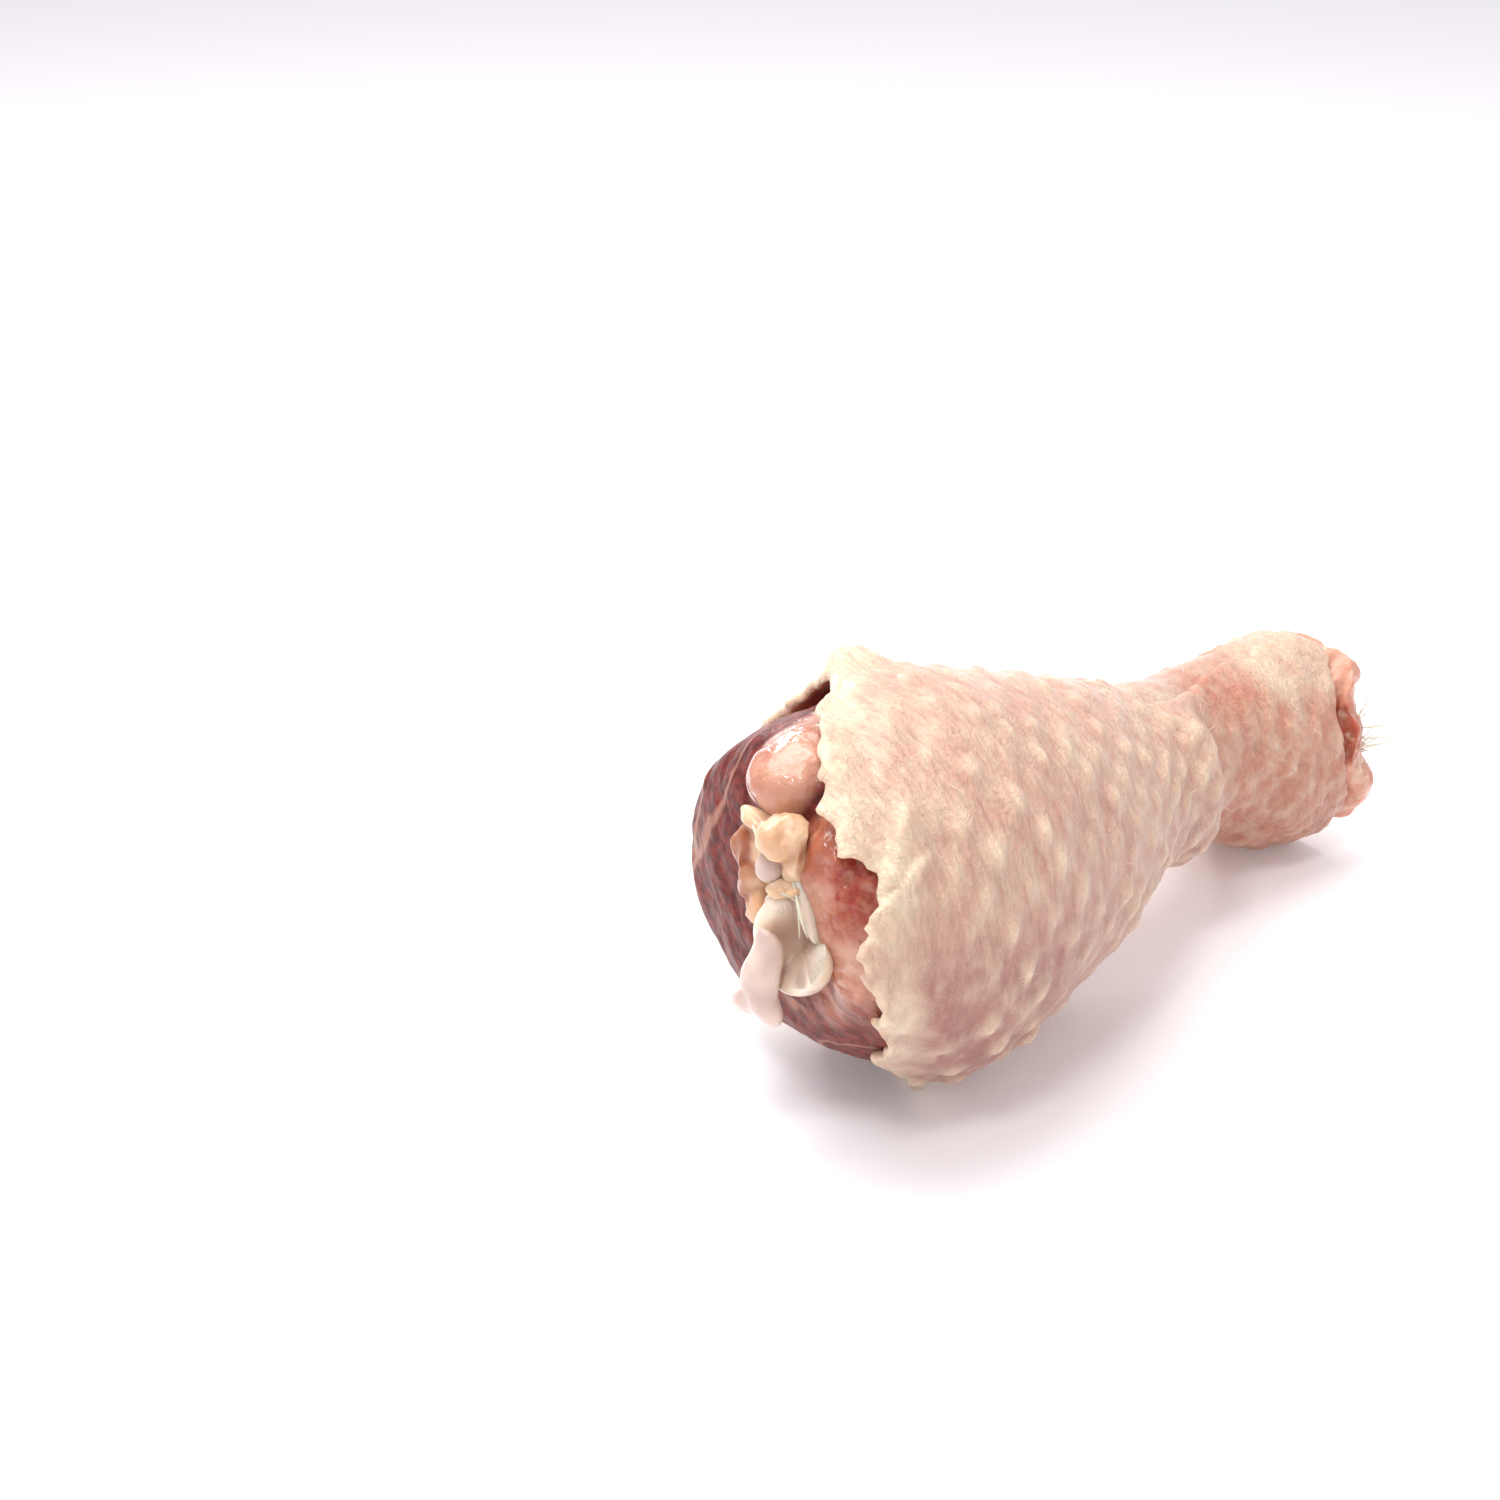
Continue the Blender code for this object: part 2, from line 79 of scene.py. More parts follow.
# Cut edge of the skin at the knee: degrees around the leg, place along X.
# 0 is the far side, 90 the top, 180 the near side and 270 the underside.
KNEE_EDGE = (
    (0.0, 9.0), (30.0, 10.5), (55.0, 12.0), (66.0, 11.5), (75.0, 7.5), (90.0, 1.0), (108.0, -4.9),
    (119.0, -7.1), (128.0, -7.6), (134.0, -8.3), (139.0, -6.8), (147.0, -6.4), (152.0, -7.2),
    (157.0, -9.2), (166.0, -10.4), (180.0, -10.7), (193.0, -9.3), (211.0, -6.3), (222.0, -3.1),
    (240.0, 5.2), (253.0, 10.4), (275.0, 10.0), (320.0, 8.9), (360.0, 9.0),
)
# The same for the rim at the hock
HOCK_EDGE = (
    (0.0, 102.5), (45.0, 104.5), (90.0, 106.0), (115.0, 104.6), (130.0, 101.8), (150.0, 99.2),
    (173.0, 99.7), (200.0, 102.0), (240.0, 102.8), (300.0, 102.7), (360.0, 102.5),
)

# Steps along each ray until it leaves a shape, and halvings of the step that follow
RAY_STEPS = 100
HALVINGS = 14

Field = Callable[[np.ndarray], np.ndarray]
Triple = tuple[float, float, float]
Socket = bpy.types.NodeSocket
Tree = bpy.types.NodeTree


class Layer(Enum):
    """Values painted on the points of a piece, which its finish reads."""

    CREAM = "cream"
    # Pink-mauve patches on the skin, and painted shade on its underside
    ROSY_AND_SHADE = "rosy_and_shade"
    GRAIN = "grain"
    # A darker colour; in the fat, the hock, the bone's dish and the muscle strip's low part it is painted
    # shade
    DARK = "dark"
    RAW = "raw"


Paint = dict[Layer, np.ndarray]


def linear(hex_colour: str) -> tuple[float, float, float, float]:
    """Turn an sRGB hex colour such as D8B299 into linear values.

    Args:
        hex_colour: six hex digits.

    Returns:
        Red, green, blue and a full alpha.
    """
    shares = [int(hex_colour[i:i + 2], 16) / 255 for i in (0, 2, 4)]
    red, green, blue = (s / 12.92 if s <= 0.04045 else ((s + 0.055) / 1.055) ** 2.4 for s in shares)
    return red, green, blue, 1.0


def follow(table: tuple, place: np.ndarray) -> np.ndarray:
    """Read a table at any place, with a cubic curve through its rows.

    Args:
        table: rows that start with the place and go on with the values there.
        place: where to read it; outside the table its end row holds.

    Returns:
        The values, in a last axis added to the shape of place.
    """
    rows = np.array(table, float)
    stops, values = rows[:, 0], rows[:, 1:]
    slopes = np.gradient(values, stops, axis=0)
    place = np.clip(np.asarray(place, float), stops[0], stops[-1])
    at = np.clip(np.searchsorted(stops, place) - 1, 0, len(stops) - 2)
    gap = (stops[at + 1] - stops[at])[..., None]
    t = (place[..., None] - stops[at][..., None]) / gap
    start = (2 * t**3 - 3 * t**2 + 1) * values[at] + (t**3 - 2 * t**2 + t) * gap * slopes[at]
    finish = (3 * t**2 - 2 * t**3) * values[at + 1] + (t**3 - t**2) * gap * slopes[at + 1]
    return start + finish


def ramp(value: np.ndarray, low: float, high: float) -> np.ndarray:
    """Go smoothly from 0 at low to 1 at high."""
    t = np.clip((value - low) / (high - low), 0.0, 1.0)
    return t * t * (3 - 2 * t)


def hill(distance: np.ndarray, reach: float) -> np.ndarray:
    """A bell curve: 1 at no distance, and about a third at reach."""
    return np.exp(-(distance / reach) ** 2)


def bell(points: np.ndarray, centre: tuple, size: tuple) -> np.ndarray:
    """A soft spot: 1 at its centre, falling as a bell curve over three reaches in millimetres."""
    return np.exp(-(((points - np.array(centre)) / np.array(size)) ** 2).sum(axis=-1))


def scatter(cells: np.ndarray, seed: int) -> np.ndarray:
    """A number from 0 to 1 for each whole-numbered cell, by mixing the bits of its numbers."""
    x, y, z = (cells[..., i].astype(np.int64).astype(np.uint64) for i in range(3))
    mixed = x * np.uint64(374761393) + y * np.uint64(668265263) + z * np.uint64(2246822519)
    mixed = (mixed + np.uint64(seed * 3266489917)) & np.uint64(0xFFFFFFFF)
    mixed = ((mixed ^ (mixed >> np.uint64(13))) * np.uint64(1274126177)) & np.uint64(0xFFFFFFFF)
    mixed = ((mixed ^ (mixed >> np.uint64(15))) * np.uint64(2654435761)) & np.uint64(0xFFFFFFFF)
    return (mixed ^ (mixed >> np.uint64(16))).astype(float) / 4294967296.0


def cloud(points: np.ndarray, size: float | tuple, seed: int, octaves: int = 1) -> np.ndarray:
    """Smooth noise from -1 to 1: random values at the corners of cells, blended inside each cell.

    Args:
        points: places, in millimetres.
        size: a cell's side, or its three sides where the noise is stretched.
        seed: picks the pattern.
        octaves: how many times a half-sized copy is added at half strength.
    """
    total, weight = 0.0, 0.0
    for octave in range(octaves):
        place = points / (np.asarray(size) / 2**octave)
        base = np.floor(place)
        t = place - base
        t = t * t * (3 - 2 * t)
        value = 0.0
        for corner in np.ndindex(2, 2, 2):
            share = np.prod(np.where(np.array(corner) == 1, t, 1 - t), axis=-1)
            value = value + share * scatter(base + np.array(corner), seed + octave)
        total = total + (2 * value - 1) / 2**octave
        weight += 1 / 2**octave
    return total / weight


def leg_surface(along: np.ndarray, angle: np.ndarray, inset: np.ndarray | float) -> np.ndarray:
    """Points of the leg's outline: an ellipse at each place along X.

    Args:
        along: place along X.
        angle: degrees around the leg.
        inset: depth under the outer skin.
    """
    middle, half_width, underside, top = np.moveaxis(follow(LEG_SECTIONS, along), -1, 0)
    turn = np.radians(angle)
    across = middle + (half_width - inset) * np.cos(turn)
    height = (underside + top) / 2 + ((top - underside) / 2 - inset) * np.sin(turn)
    return np.stack([along + 0 * across, across, height], -1)


def leg_depth(points: np.ndarray, inset: float) -> np.ndarray:
    """How far points lie outside the leg's outline, inset by that much; less than 0 is inside."""
    middle, half_width, underside, top = np.moveaxis(follow(LEG_SECTIONS, points[..., 0]), -1, 0)
    wide = half_width - inset
    tall = (top - underside) / 2 - inset
    across = (points[..., 1] - middle) / wide
    height = (points[..., 2] - (underside + top) / 2) / tall
    round_side = (np.hypot(across, height) - 1) * np.minimum(wide, tall)
    return np.maximum(round_side, inset * 0.3 - points[..., 2])


class Blob(NamedTuple):
    """An ellipsoid in millimetres, turned by degrees about X, Y and Z."""

    centre: Triple
    size: Triple
    turn: Triple = (0.0, 0.0, 0.0)


def blob_depth(points: np.ndarray, blob: Blob) -> np.ndarray:
    """About how far points lie outside an ellipsoid; less than 0 is inside."""
    turn = np.array(Euler([math.radians(a) for a in blob.turn]).to_matrix())
    local = (points - np.array(blob.centre)) @ turn
    near = np.linalg.norm(local / np.array(blob.size), axis=-1)
    slope = np.linalg.norm(local / np.array(blob.size) ** 2, axis=-1)
    return near * (near - 1) / np.maximum(slope, 1e-6)


def merged(depths: list[np.ndarray], softness: float) -> np.ndarray:
    """Join shapes into one, with the creases between them filled by softness millimetres."""
    stack = np.stack(depths)
    lowest = stack.min(axis=0)
    return lowest - softness * np.log(np.exp((lowest - stack) / softness).sum(axis=0))


def blobs_depth(points: np.ndarray, blobs: tuple, softness: float) -> np.ndarray:
    """The depth of several ellipsoids that run into each other."""
    return merged([blob_depth(points, blob) for blob in blobs], softness)


def first_exit(shape: Field, start: np.ndarray, aim: np.ndarray, reach: float) -> np.ndarray:
    """Where rays from inside a shape first leave it.

    Args:
        shape: the depth of points in it.
        start: where each ray starts, inside the shape.
        aim: the direction of each ray, one millimetre long.
        reach: a length that ends outside the shape.
    """
    steps = np.linspace(0.0, reach, RAY_STEPS)
    first_outside = np.zeros(aim.shape[:-1], int)
    for number, step in enumerate(steps[1:], 1):
        outside = shape(start + aim * step) >= 0
        first_outside = np.where((first_outside == 0) & outside, number, first_outside)
    near = steps[np.maximum(first_outside, 1) - 1]
    far = steps[np.maximum(first_outside, 1)]
    for _ in range(HALVINGS):
        middle = (near + far) / 2
        inside = shape(start + aim * middle[..., None]) < 0
        near = np.where(inside, middle, near)
        far = np.where(inside, far, middle)
    return start + aim * near[..., None]


class Shell(NamedTuple):
    """How rings are wrapped round a shape: rays leave a line inside it and fan out past its ends."""

    first: Triple
    last: Triple
    columns: int
    rows: tuple[int, int, int]
    reach: float

    def wrap(self, shape: Field) -> tuple[np.ndarray, tuple[np.ndarray, np.ndarray]]:
        """Cast the rays.

        Args:
            shape: the depth of points in the shape.

        Returns:
            The rings, and the two tips that close them.
        """
        first, last = np.array(self.first, float), np.array(self.last, float)
        axis = (last - first) / np.linalg.norm(last - first)
        side = np.cross((0.0, 0.0, 1.0), axis)
        side /= np.linalg.norm(side)
        up = np.cross(axis, side)
        around = np.linspace(0.0, 2 * math.pi, self.columns, endpoint=False)[None, :, None]
        outward = np.cos(around) * side + np.sin(around) * up
        open_fan = np.radians(np.linspace(0.0, 90.0, self.rows[0] + 1))[1:, None, None]
        close_fan = np.radians(np.linspace(90.0, 0.0, self.rows[2] + 1))[:-1, None, None]
        before = -np.cos(open_fan) * axis + np.sin(open_fan) * outward
        after = np.cos(close_fan) * axis + np.sin(close_fan) * outward
        share = np.linspace(0.0, 1.0, self.rows[1] + 2)[1:-1, None, None]
        between = first + share * (last - first) + 0 * outward
        start = np.concatenate([0 * before + first, between, 0 * after + last])
        aim = np.concatenate([before, 0 * between + outward, after])
        rings = first_exit(shape, start, aim, self.reach)
        tips = first_exit(shape, np.stack([first, last]), np.stack([-axis, axis]), self.reach)
        return rings, (tips[0], tips[1])


def grid_faces(rows: int, columns: int, closed_ends: bool) -> np.ndarray:
    """The four corners of each face of a grid that is closed round its columns.

    Args:
        rows: rings of points.
        columns: points in each ring.
        closed_ends: whether the last ring is joined to the first.
    """
    row = np.arange(rows if closed_ends else rows - 1)[:, None]
    column = np.arange(columns)[None, :]
    turned, below = (column + 1) % columns, (row + 1) % rows
    upper, lower = row * columns, below * columns
    corners = [upper + column, upper + turned, lower + turned, lower + column]
    return np.stack(corners, -1).reshape(-1, 4)


def relaxed(rings: np.ndarray, passes: int) -> np.ndarray:
    """Even steep walls out by moving each point towards its neighbours.

    Args:
        rings: closed rings of points.
        passes: how many times each point is moved.

    Returns:
        The rings, the first and last smoothed only along themselves.
    """
    for _ in range(passes):
        rings = 0.5 * rings + 0.25 * (np.roll(rings, 1, axis=1) + np.roll(rings, -1, axis=1))
        between = 0.5 * rings[1:-1] + 0.25 * (rings[:-2] + rings[2:])
        rings = np.concatenate([rings[:1], between, rings[-1:]])
    return rings


def outward_normals(rings: np.ndarray) -> np.ndarray:
    """Directions square to a grid of rings, each from the cross of its two slopes."""
    around = np.roll(rings, -1, axis=1) - np.roll(rings, 1, axis=1)
    along = np.gradient(rings, axis=0)
    square = np.cross(around, along)
    square /= np.maximum(np.linalg.norm(square, axis=-1, keepdims=True), 1e-9)
    middle = rings.mean(axis=1, keepdims=True)
    outside = np.sign(np.median((square * (rings - middle)).sum(-1)))
    return square * outside


def new_piece(name: str, points: np.ndarray, quads: np.ndarray, triangles: np.ndarray | None,
              paint: Paint, material: bpy.types.Material) -> bpy.types.Object:
    """Make an object whose place is in its mesh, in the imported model's frame.

    Args:
        name: the piece's name.
        points: places in millimetres along the leg.
        quads: four point numbers for each face.
        triangles: three for each further face.
        paint: values for each point, by layer: one number or three each.
        material: its finish.
    """
    mesh = bpy.data.meshes.new(name)
    faces = quads.tolist() + ([] if triangles is None else triangles.tolist())
    mesh.from_pydata(((points - ORIGIN) * MM).tolist(), [], faces)
    for painted, values in paint.items():
        kind = "FLOAT_VECTOR" if values.ndim == 2 else "FLOAT"
        layer = mesh.attributes.new(painted.value, kind, "POINT")
        field_name = "vector" if values.ndim == 2 else "value"
        layer.data.foreach_set(field_name, values.astype(np.float32).ravel())
    mesh.shade_smooth()
    mesh.materials.append(material)
    mesh.update()
    piece = bpy.data.objects.new(name, mesh)
    bpy.context.collection.objects.link(piece)
    face_out(mesh)
    return piece


def face_out(mesh: bpy.types.Mesh) -> None:
    """Turn a closed mesh right side out: its volume, summed from its triangles, must be above 0."""
    mesh.calc_loop_triangles()
    corners = np.empty(len(mesh.loop_triangles) * 3, np.int32)
    mesh.loop_triangles.foreach_get("vertices", corners)
    places = np.empty(len(mesh.vertices) * 3, np.float32)
    mesh.vertices.foreach_get("co", places)
    a, b, c = np.moveaxis(places.reshape(-1, 3)[corners.reshape(-1, 3)].astype(float), 1, 0)
    if (a * np.cross(b, c)).sum() < 0:
        mesh.flip_normals()


def capped(rings: np.ndarray,
           tips: tuple[np.ndarray, np.ndarray]) -> tuple[np.ndarray, np.ndarray, np.ndarray]:
    """Points, quads and end triangles of rings that two tips close."""
    rows, columns = rings.shape[:2]
    points = np.vstack([rings.reshape(-1, 3), tips[0], tips[1]])
    column = np.arange(columns)
    turned = (column + 1) % columns
    start = np.stack([0 * column + rows * columns, turned, column], -1)
    base = (rows - 1) * columns
    end = np.stack([0 * column + rows * columns + 1, base + column, base + turned], -1)
    return points, grid_faces(rows, columns, False), np.vstack([start, end])


def place_piece(piece: bpy.types.Object, node: str | None) -> bpy.types.Object:
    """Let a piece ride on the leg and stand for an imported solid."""
    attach(piece, "root")
    if node is not None:
        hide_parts(node)
    return piece


def wrapped_piece(name: str, node: str | None, shell: Shell, shape: Field, relief: Field,
                  paint: Callable[[np.ndarray], Paint], material: bpy.types.Material,
                  evened: int = 0) -> bpy.types.Object:
    """Wrap rings round a shape and make them a piece.

    Args:
        name: the piece's name.
        node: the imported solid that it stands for, if any.
        shell: how the rings are cast.
        shape: the depth of points in the shape.
        relief: how far points stand out, in millimetres.
        paint: the painted layers of points.
        material: the finish.
        evened: passes that even steep walls out.
    """
    rings, tips = shell.wrap(shape)
    rings = relaxed(rings, evened)
    rings = rings + outward_normals(rings) * relief(rings)[..., None]
    points, quads, triangles = capped(rings, tips)
    return place_piece(new_piece(name, points, quads, triangles, paint(points), material), node)


def threads(paths: np.ndarray, radius: np.ndarray) -> tuple[np.ndarray, np.ndarray, np.ndarray]:
    """Thin three-sided tubes along paths, drawn out to a point at each end.

    Args:
        paths: places, one path in each row.
        radius: each path's widest radius.

    Returns:
        Points, quads and the triangles that close the ends.
    """
    count, steps = paths.shape[:2]
    ahead = np.gradient(paths, axis=1)
    ahead /= np.linalg.norm(ahead, axis=-1, keepdims=True)
    side = np.cross(ahead, np.array((0.31, 0.47, 0.83)))
    side /= np.linalg.norm(side, axis=-1, keepdims=True)
    up = np.cross(ahead, side)
    share = np.linspace(0.0, 1.0, steps)
    slim = radius[:, None] * (0.25 + 0.75 * np.sin(math.pi * np.clip(share * 0.8 + 0.15, 0, 1)))
    turn = np.arange(3) * 2 * math.pi / 3
    ring = side[:, :, None] * np.cos(turn)[:, None] + up[:, :, None] * np.sin(turn)[:, None]
    points = (paths[:, :, None] + ring * slim[:, :, None, None]).reshape(-1, 3)
    first = (np.arange(count) * steps * 3)[:, None, None]
    quads = grid_faces(steps, 3, False)[None] + first
    last = (steps - 1) * 3
    caps = np.array([(0, 2, 1), (last, last + 1, last + 2)])[None] + first
    return points, quads.reshape(-1, 4), caps.reshape(-1, 3)


def add(tree: Tree, kind: str, inputs: dict | None = None, **settings) -> bpy.types.Node:
    """Add a node.

    Args:
        tree: the material's nodes.
        kind: the node's type.
        inputs: a socket to link or a value to set, by the input's name or number.
        settings: the node's own options.
    """
    made = tree.nodes.new(kind)
    for name, value in settings.items():
        setattr(made, name, value)
    for name, value in (inputs or {}).items():
        if isinstance(value, Socket):
            tree.links.new(value, made.inputs[name])
        else:
            made.inputs[name].default_value = value
    return made


@dataclass(frozen=True)
class MoistFlesh:
    """What every finish here shares: light that goes in, scatters and comes out, under a wet film.

    Raw tissue is mostly water, so its index of refraction is near 1.38 and red light travels
    furthest in it. The film of juice gives small sharp highlights over a soft, deep colour.
    """

    name: str
    roughness: float
    scatter: float
    scatter_radius: Triple
    film: float
    film_roughness: float

    def start(self) -> tuple[bpy.types.Material, Tree, bpy.types.Node, Socket]:
        """Make the material with its shader and the place on the piece in millimetres."""
        material = bpy.data.materials.new(self.name)
        material.use_nodes = True
        tree = material.node_tree
        shader = tree.nodes["Principled BSDF"]
        values = {
            "Roughness": self.roughness, "IOR": TISSUE_IOR, "Subsurface Weight": self.scatter,
            "Subsurface Radius": self.scatter_radius, "Subsurface Scale": MM,
            "Coat Weight": self.film, "Coat Roughness": self.film_roughness, "Coat IOR": JUICE_IOR,
        }
        for name, value in values.items():
            shader.inputs[name].default_value = value
        where = add(tree, "ShaderNodeTexCoord").outputs["Object"]
        place = add(tree, "ShaderNodeVectorMath", {0: where, "Scale": 1 / MM}, operation="SCALE")
        return material, tree, shader, place.outputs[0]

    @staticmethod
    def noise(tree: Tree, place: Socket, size: float, detail: float = 3.0) -> Socket:
        """Noise of a size in millimetres."""
        inputs = {"Vector": place, "Scale": 1 / size, "Detail": detail}
        return add(tree, "ShaderNodeTexNoise", inputs).outputs["Fac"]

    @staticmethod
    def speckle(tree: Tree, place: Socket, size: float, low: float, high: float,
                detail: float = 3.0) -> Socket:
        """Noise of a size in millimetres, spread from 0 at low to 1 at high."""
        noise = MoistFlesh.noise(tree, place, size, detail)
        spread = add(tree, "ShaderNodeMapRange", {0: noise, 1: low, 2: high},
                     interpolation_type="SMOOTHSTEP")
        return spread.outputs[0]

    @staticmethod
    def tint(tree: Tree, share: Socket | float, under: Socket | tuple, over: Socket | tuple) -> Socket:
        """Blend from one colour to another by a share."""
        mix = add(tree, "ShaderNodeMix", {0: share, 6: under, 7: over}, data_type="RGBA")
        return mix.outputs[2]

    @staticmethod
    def times(tree: Tree, value: Socket, by: Socket | float) -> Socket:
        """Multiply a value."""
        return add(tree, "ShaderNodeMath", {0: value, 1: by}, operation="MULTIPLY").outputs[0]

    @staticmethod
    def spread(tree: Tree, value: Socket, low: float, high: float) -> Socket:
        """Stretch a value from 0 and 1 to low and high."""
        return add(tree, "ShaderNodeMapRange", {0: value, 3: low, 4: high}).outputs[0]

    @staticmethod
    def blended(tree: Tree, added: Socket, share: float, base: Socket) -> Socket:
        """Add a share of one height to another."""
        return add(tree, "ShaderNodeMath", {0: added, 1: share, 2: base}, operation="MULTIPLY_ADD").outputs[0]

    @staticmethod
    def bump(tree: Tree, height: Socket, depth: float, strength: float) -> Socket:
        """Turn a height into small relief, with its depth in millimetres."""
        inputs = {"Height": height, "Distance": depth * MM, "Strength": strength}
        return add(tree, "ShaderNodeBump", inputs).outputs[0]

    @staticmethod
    def painted(tree: Tree, layer: Layer) -> Socket:
        """Read a painted layer: three numbers for the grain, else one."""
        made = add(tree, "ShaderNodeAttribute", attribute_name=layer.value)
        return made.outputs["Vector" if layer is Layer.GRAIN else "Fac"]


@dataclass(frozen=True)
class RawSkin(MoistFlesh):
    """Raw plucked chicken skin: thin, half clear, with yellow fat under it and pink meat below that."""

    name: str = "raw_skin_plucked"
    roughness: float = 0.46
    scatter: float = 0.35
    scatter_radius: Triple = (2.2, 0.9, 0.5)
    film: float = 0.45
    film_roughness: float = 0.2
    beige: str = "E2BCA4"
    pink: str = "CC8D7F"
    cream: str = "F0D8BB"
    # Mauve for the patches, and for the painted shade on the underside
    mauve: str = "A0645C"
    blush: str = "CE7F62"
    wrinkle: float = 1.0
    wrinkle_height: float = 0.66

    def material(self) -> bpy.types.Material:
        """Beige skin with pink blush, cream fat at the feather pits and the edge, mauve patches and mauve
        painted shade underneath, and fine wrinkles.
        """
        material, tree, shader, place = self.start()
        rosy_and_shade = self.painted(tree, Layer.ROSY_AND_SHADE)
        cream = self.painted(tree, Layer.CREAM)
        grain = self.painted(tree, Layer.GRAIN)
        blush = self.speckle(tree, place, 9.0, 0.35, 0.75)
        flecks = self.speckle(tree, grain, 1.3, 0.42, 0.7, 4.0)
        colour = self.tint(tree, self.times(tree, blush, 0.45), linear(self.beige), linear(self.pink))
        colour = self.tint(tree, self.times(tree, flecks, 0.5), colour, linear(self.pink))
        # Mauve patches, and mauve painted shade on the underside
        colour = self.tint(tree, rosy_and_shade, colour, linear(self.mauve))
        colour = self.tint(tree, self.painted(tree, Layer.RAW), colour, linear(self.blush))
        patches = self.speckle(tree, place, 3.2, 0.45, 0.8, 4.0)
        colour = self.tint(tree, self.times(tree, patches, 0.4), colour, linear(self.cream))
        colour = self.tint(tree, cream, colour, linear(self.cream))
        tree.links.new(colour, shader.inputs["Base Color"])

        # Wrinkles run round the leg, closer together than the feather pits
        lines = add(tree, "ShaderNodeTexNoise", {"Vector": grain, "Scale": 1 / self.wrinkle, "Detail": 5.0,
                                                 "Roughness": 0.62, "Distortion": 1.4})
        pores = self.noise(tree, place, 0.6)
        height = self.blended(tree, pores, 0.35, lines.outputs["Fac"])
        tree.links.new(self.bump(tree, height, self.wrinkle_height, 1.0), shader.inputs["Normal"])
        sheen = self.speckle(tree, place, 1.2, 0.3, 0.7)
        rough = self.spread(tree, sheen, self.roughness - 0.08, self.roughness + 0.1)
        tree.links.new(rough, shader.inputs["Roughness"])
        return material


@dataclass(frozen=True)
class RawMuscle(MoistFlesh):
    """Raw dark meat under its clear membrane, cut where it is red."""

    name: str = "raw_muscle_wet"
    roughness: float = 0.22
    scatter: float = 0.3
    scatter_radius: Triple = (2.4, 0.7, 0.4)
    film: float = 1.0
    film_roughness: float = 0.09
    dark_film: float = 0.12
    dark_roughness: float = 0.5
    salmon: str = "B2674B"
    pale: str = "D3A087"
    red: str = "A03A2A"
    # Dark red of the bare face, also used as painted shade on the strip's low part
    deep: str = "551714"

    def material(self) -> bpy.types.Material:
        """Salmon where the membrane covers it, red and grainy where it is torn, dark red on the bare face,
        with painted shade low down.
        """
        material, tree, shader, place = self.start()
        raw = self.painted(tree, Layer.RAW)
        dark = self.painted(tree, Layer.DARK)
        cream = self.painted(tree, Layer.CREAM)
        mottle = self.speckle(tree, place, 6.0, 0.35, 0.7)
        colour = self.tint(tree, mottle, linear(self.salmon), linear(self.pale))
        grains = self.speckle(tree, place, 1.3, 0.35, 0.7, 4.0)
        torn = self.tint(tree, grains, linear(self.red), linear(self.salmon))
        colour = self.tint(tree, raw, colour, torn)
        # Dark layer: the bare face's dark red, and painted shade low on the strip
        deep = self.tint(tree, self.times(tree, grains, 0.5), linear(self.deep), linear(self.red))
        colour = self.tint(tree, dark, colour, deep)
        colour = self.tint(tree, cream, colour, linear(self.pale))
        tree.links.new(colour, shader.inputs["Base Color"])
        # The dark face has lost most of its membrane and shines less
        film = self.spread(tree, dark, self.film, self.dark_film)
        tree.links.new(film, shader.inputs["Coat Weight"])
        rough = self.spread(tree, dark, self.roughness, self.dark_roughness)
        tree.links.new(rough, shader.inputs["Roughness"])
        fine = self.noise(tree, place, 1.4)
        coarse = self.noise(tree, place, 3.5, 1.0)
        relief = self.bump(tree, self.blended(tree, fine, 0.45, coarse), 0.7, 0.95)
        tree.links.new(relief, shader.inputs["Normal"])
        tree.links.new(relief, shader.inputs["Coat Normal"])
        return material


@dataclass(frozen=True)
class Cartilage(MoistFlesh):
    """Wet gristle and bone end: waxy white, lilac where thin, peach where stained and as painted shade in the
    dish.
    """

    name: str = "joint_cartilage"
    roughness: float = 0.28
    scatter: float = 0.55
    scatter_radius: Triple = (2.4, 1.6, 1.2)
    film: float = 0.55
    film_roughness: float = 0.12
    white: str = "F5E4CE"
    # Peach: stains on the bone, and painted shade in its dish
    stain_and_shade: str = "CDA081"
    lilac: str = "BFA39E"

    def material(self) -> bpy.types.Material:
        """White with soft lilac and peach stains, and peach and lilac painted shade in the bone's dish."""
        material, tree, shader, place = self.start()
        dark = self.painted(tree, Layer.DARK)
        raw = self.painted(tree, Layer.RAW)
        clouds = self.speckle(tree, place, 4.0, 0.4, 0.8)
        colour = self.tint(tree, self.times(tree, clouds, 0.35), linear(self.white), linear(self.lilac))
        # Peach stains, and painted shade in the dish
        colour = self.tint(tree, raw, colour, linear(self.stain_and_shade))
        colour = self.tint(tree, dark, colour, linear(self.lilac))
        tree.links.new(colour, shader.inputs["Base Color"])
        relief = self.bump(tree, self.noise(tree, place, 1.8), 0.25, 0.5)
        tree.links.new(relief, shader.inputs["Normal"])
        return material


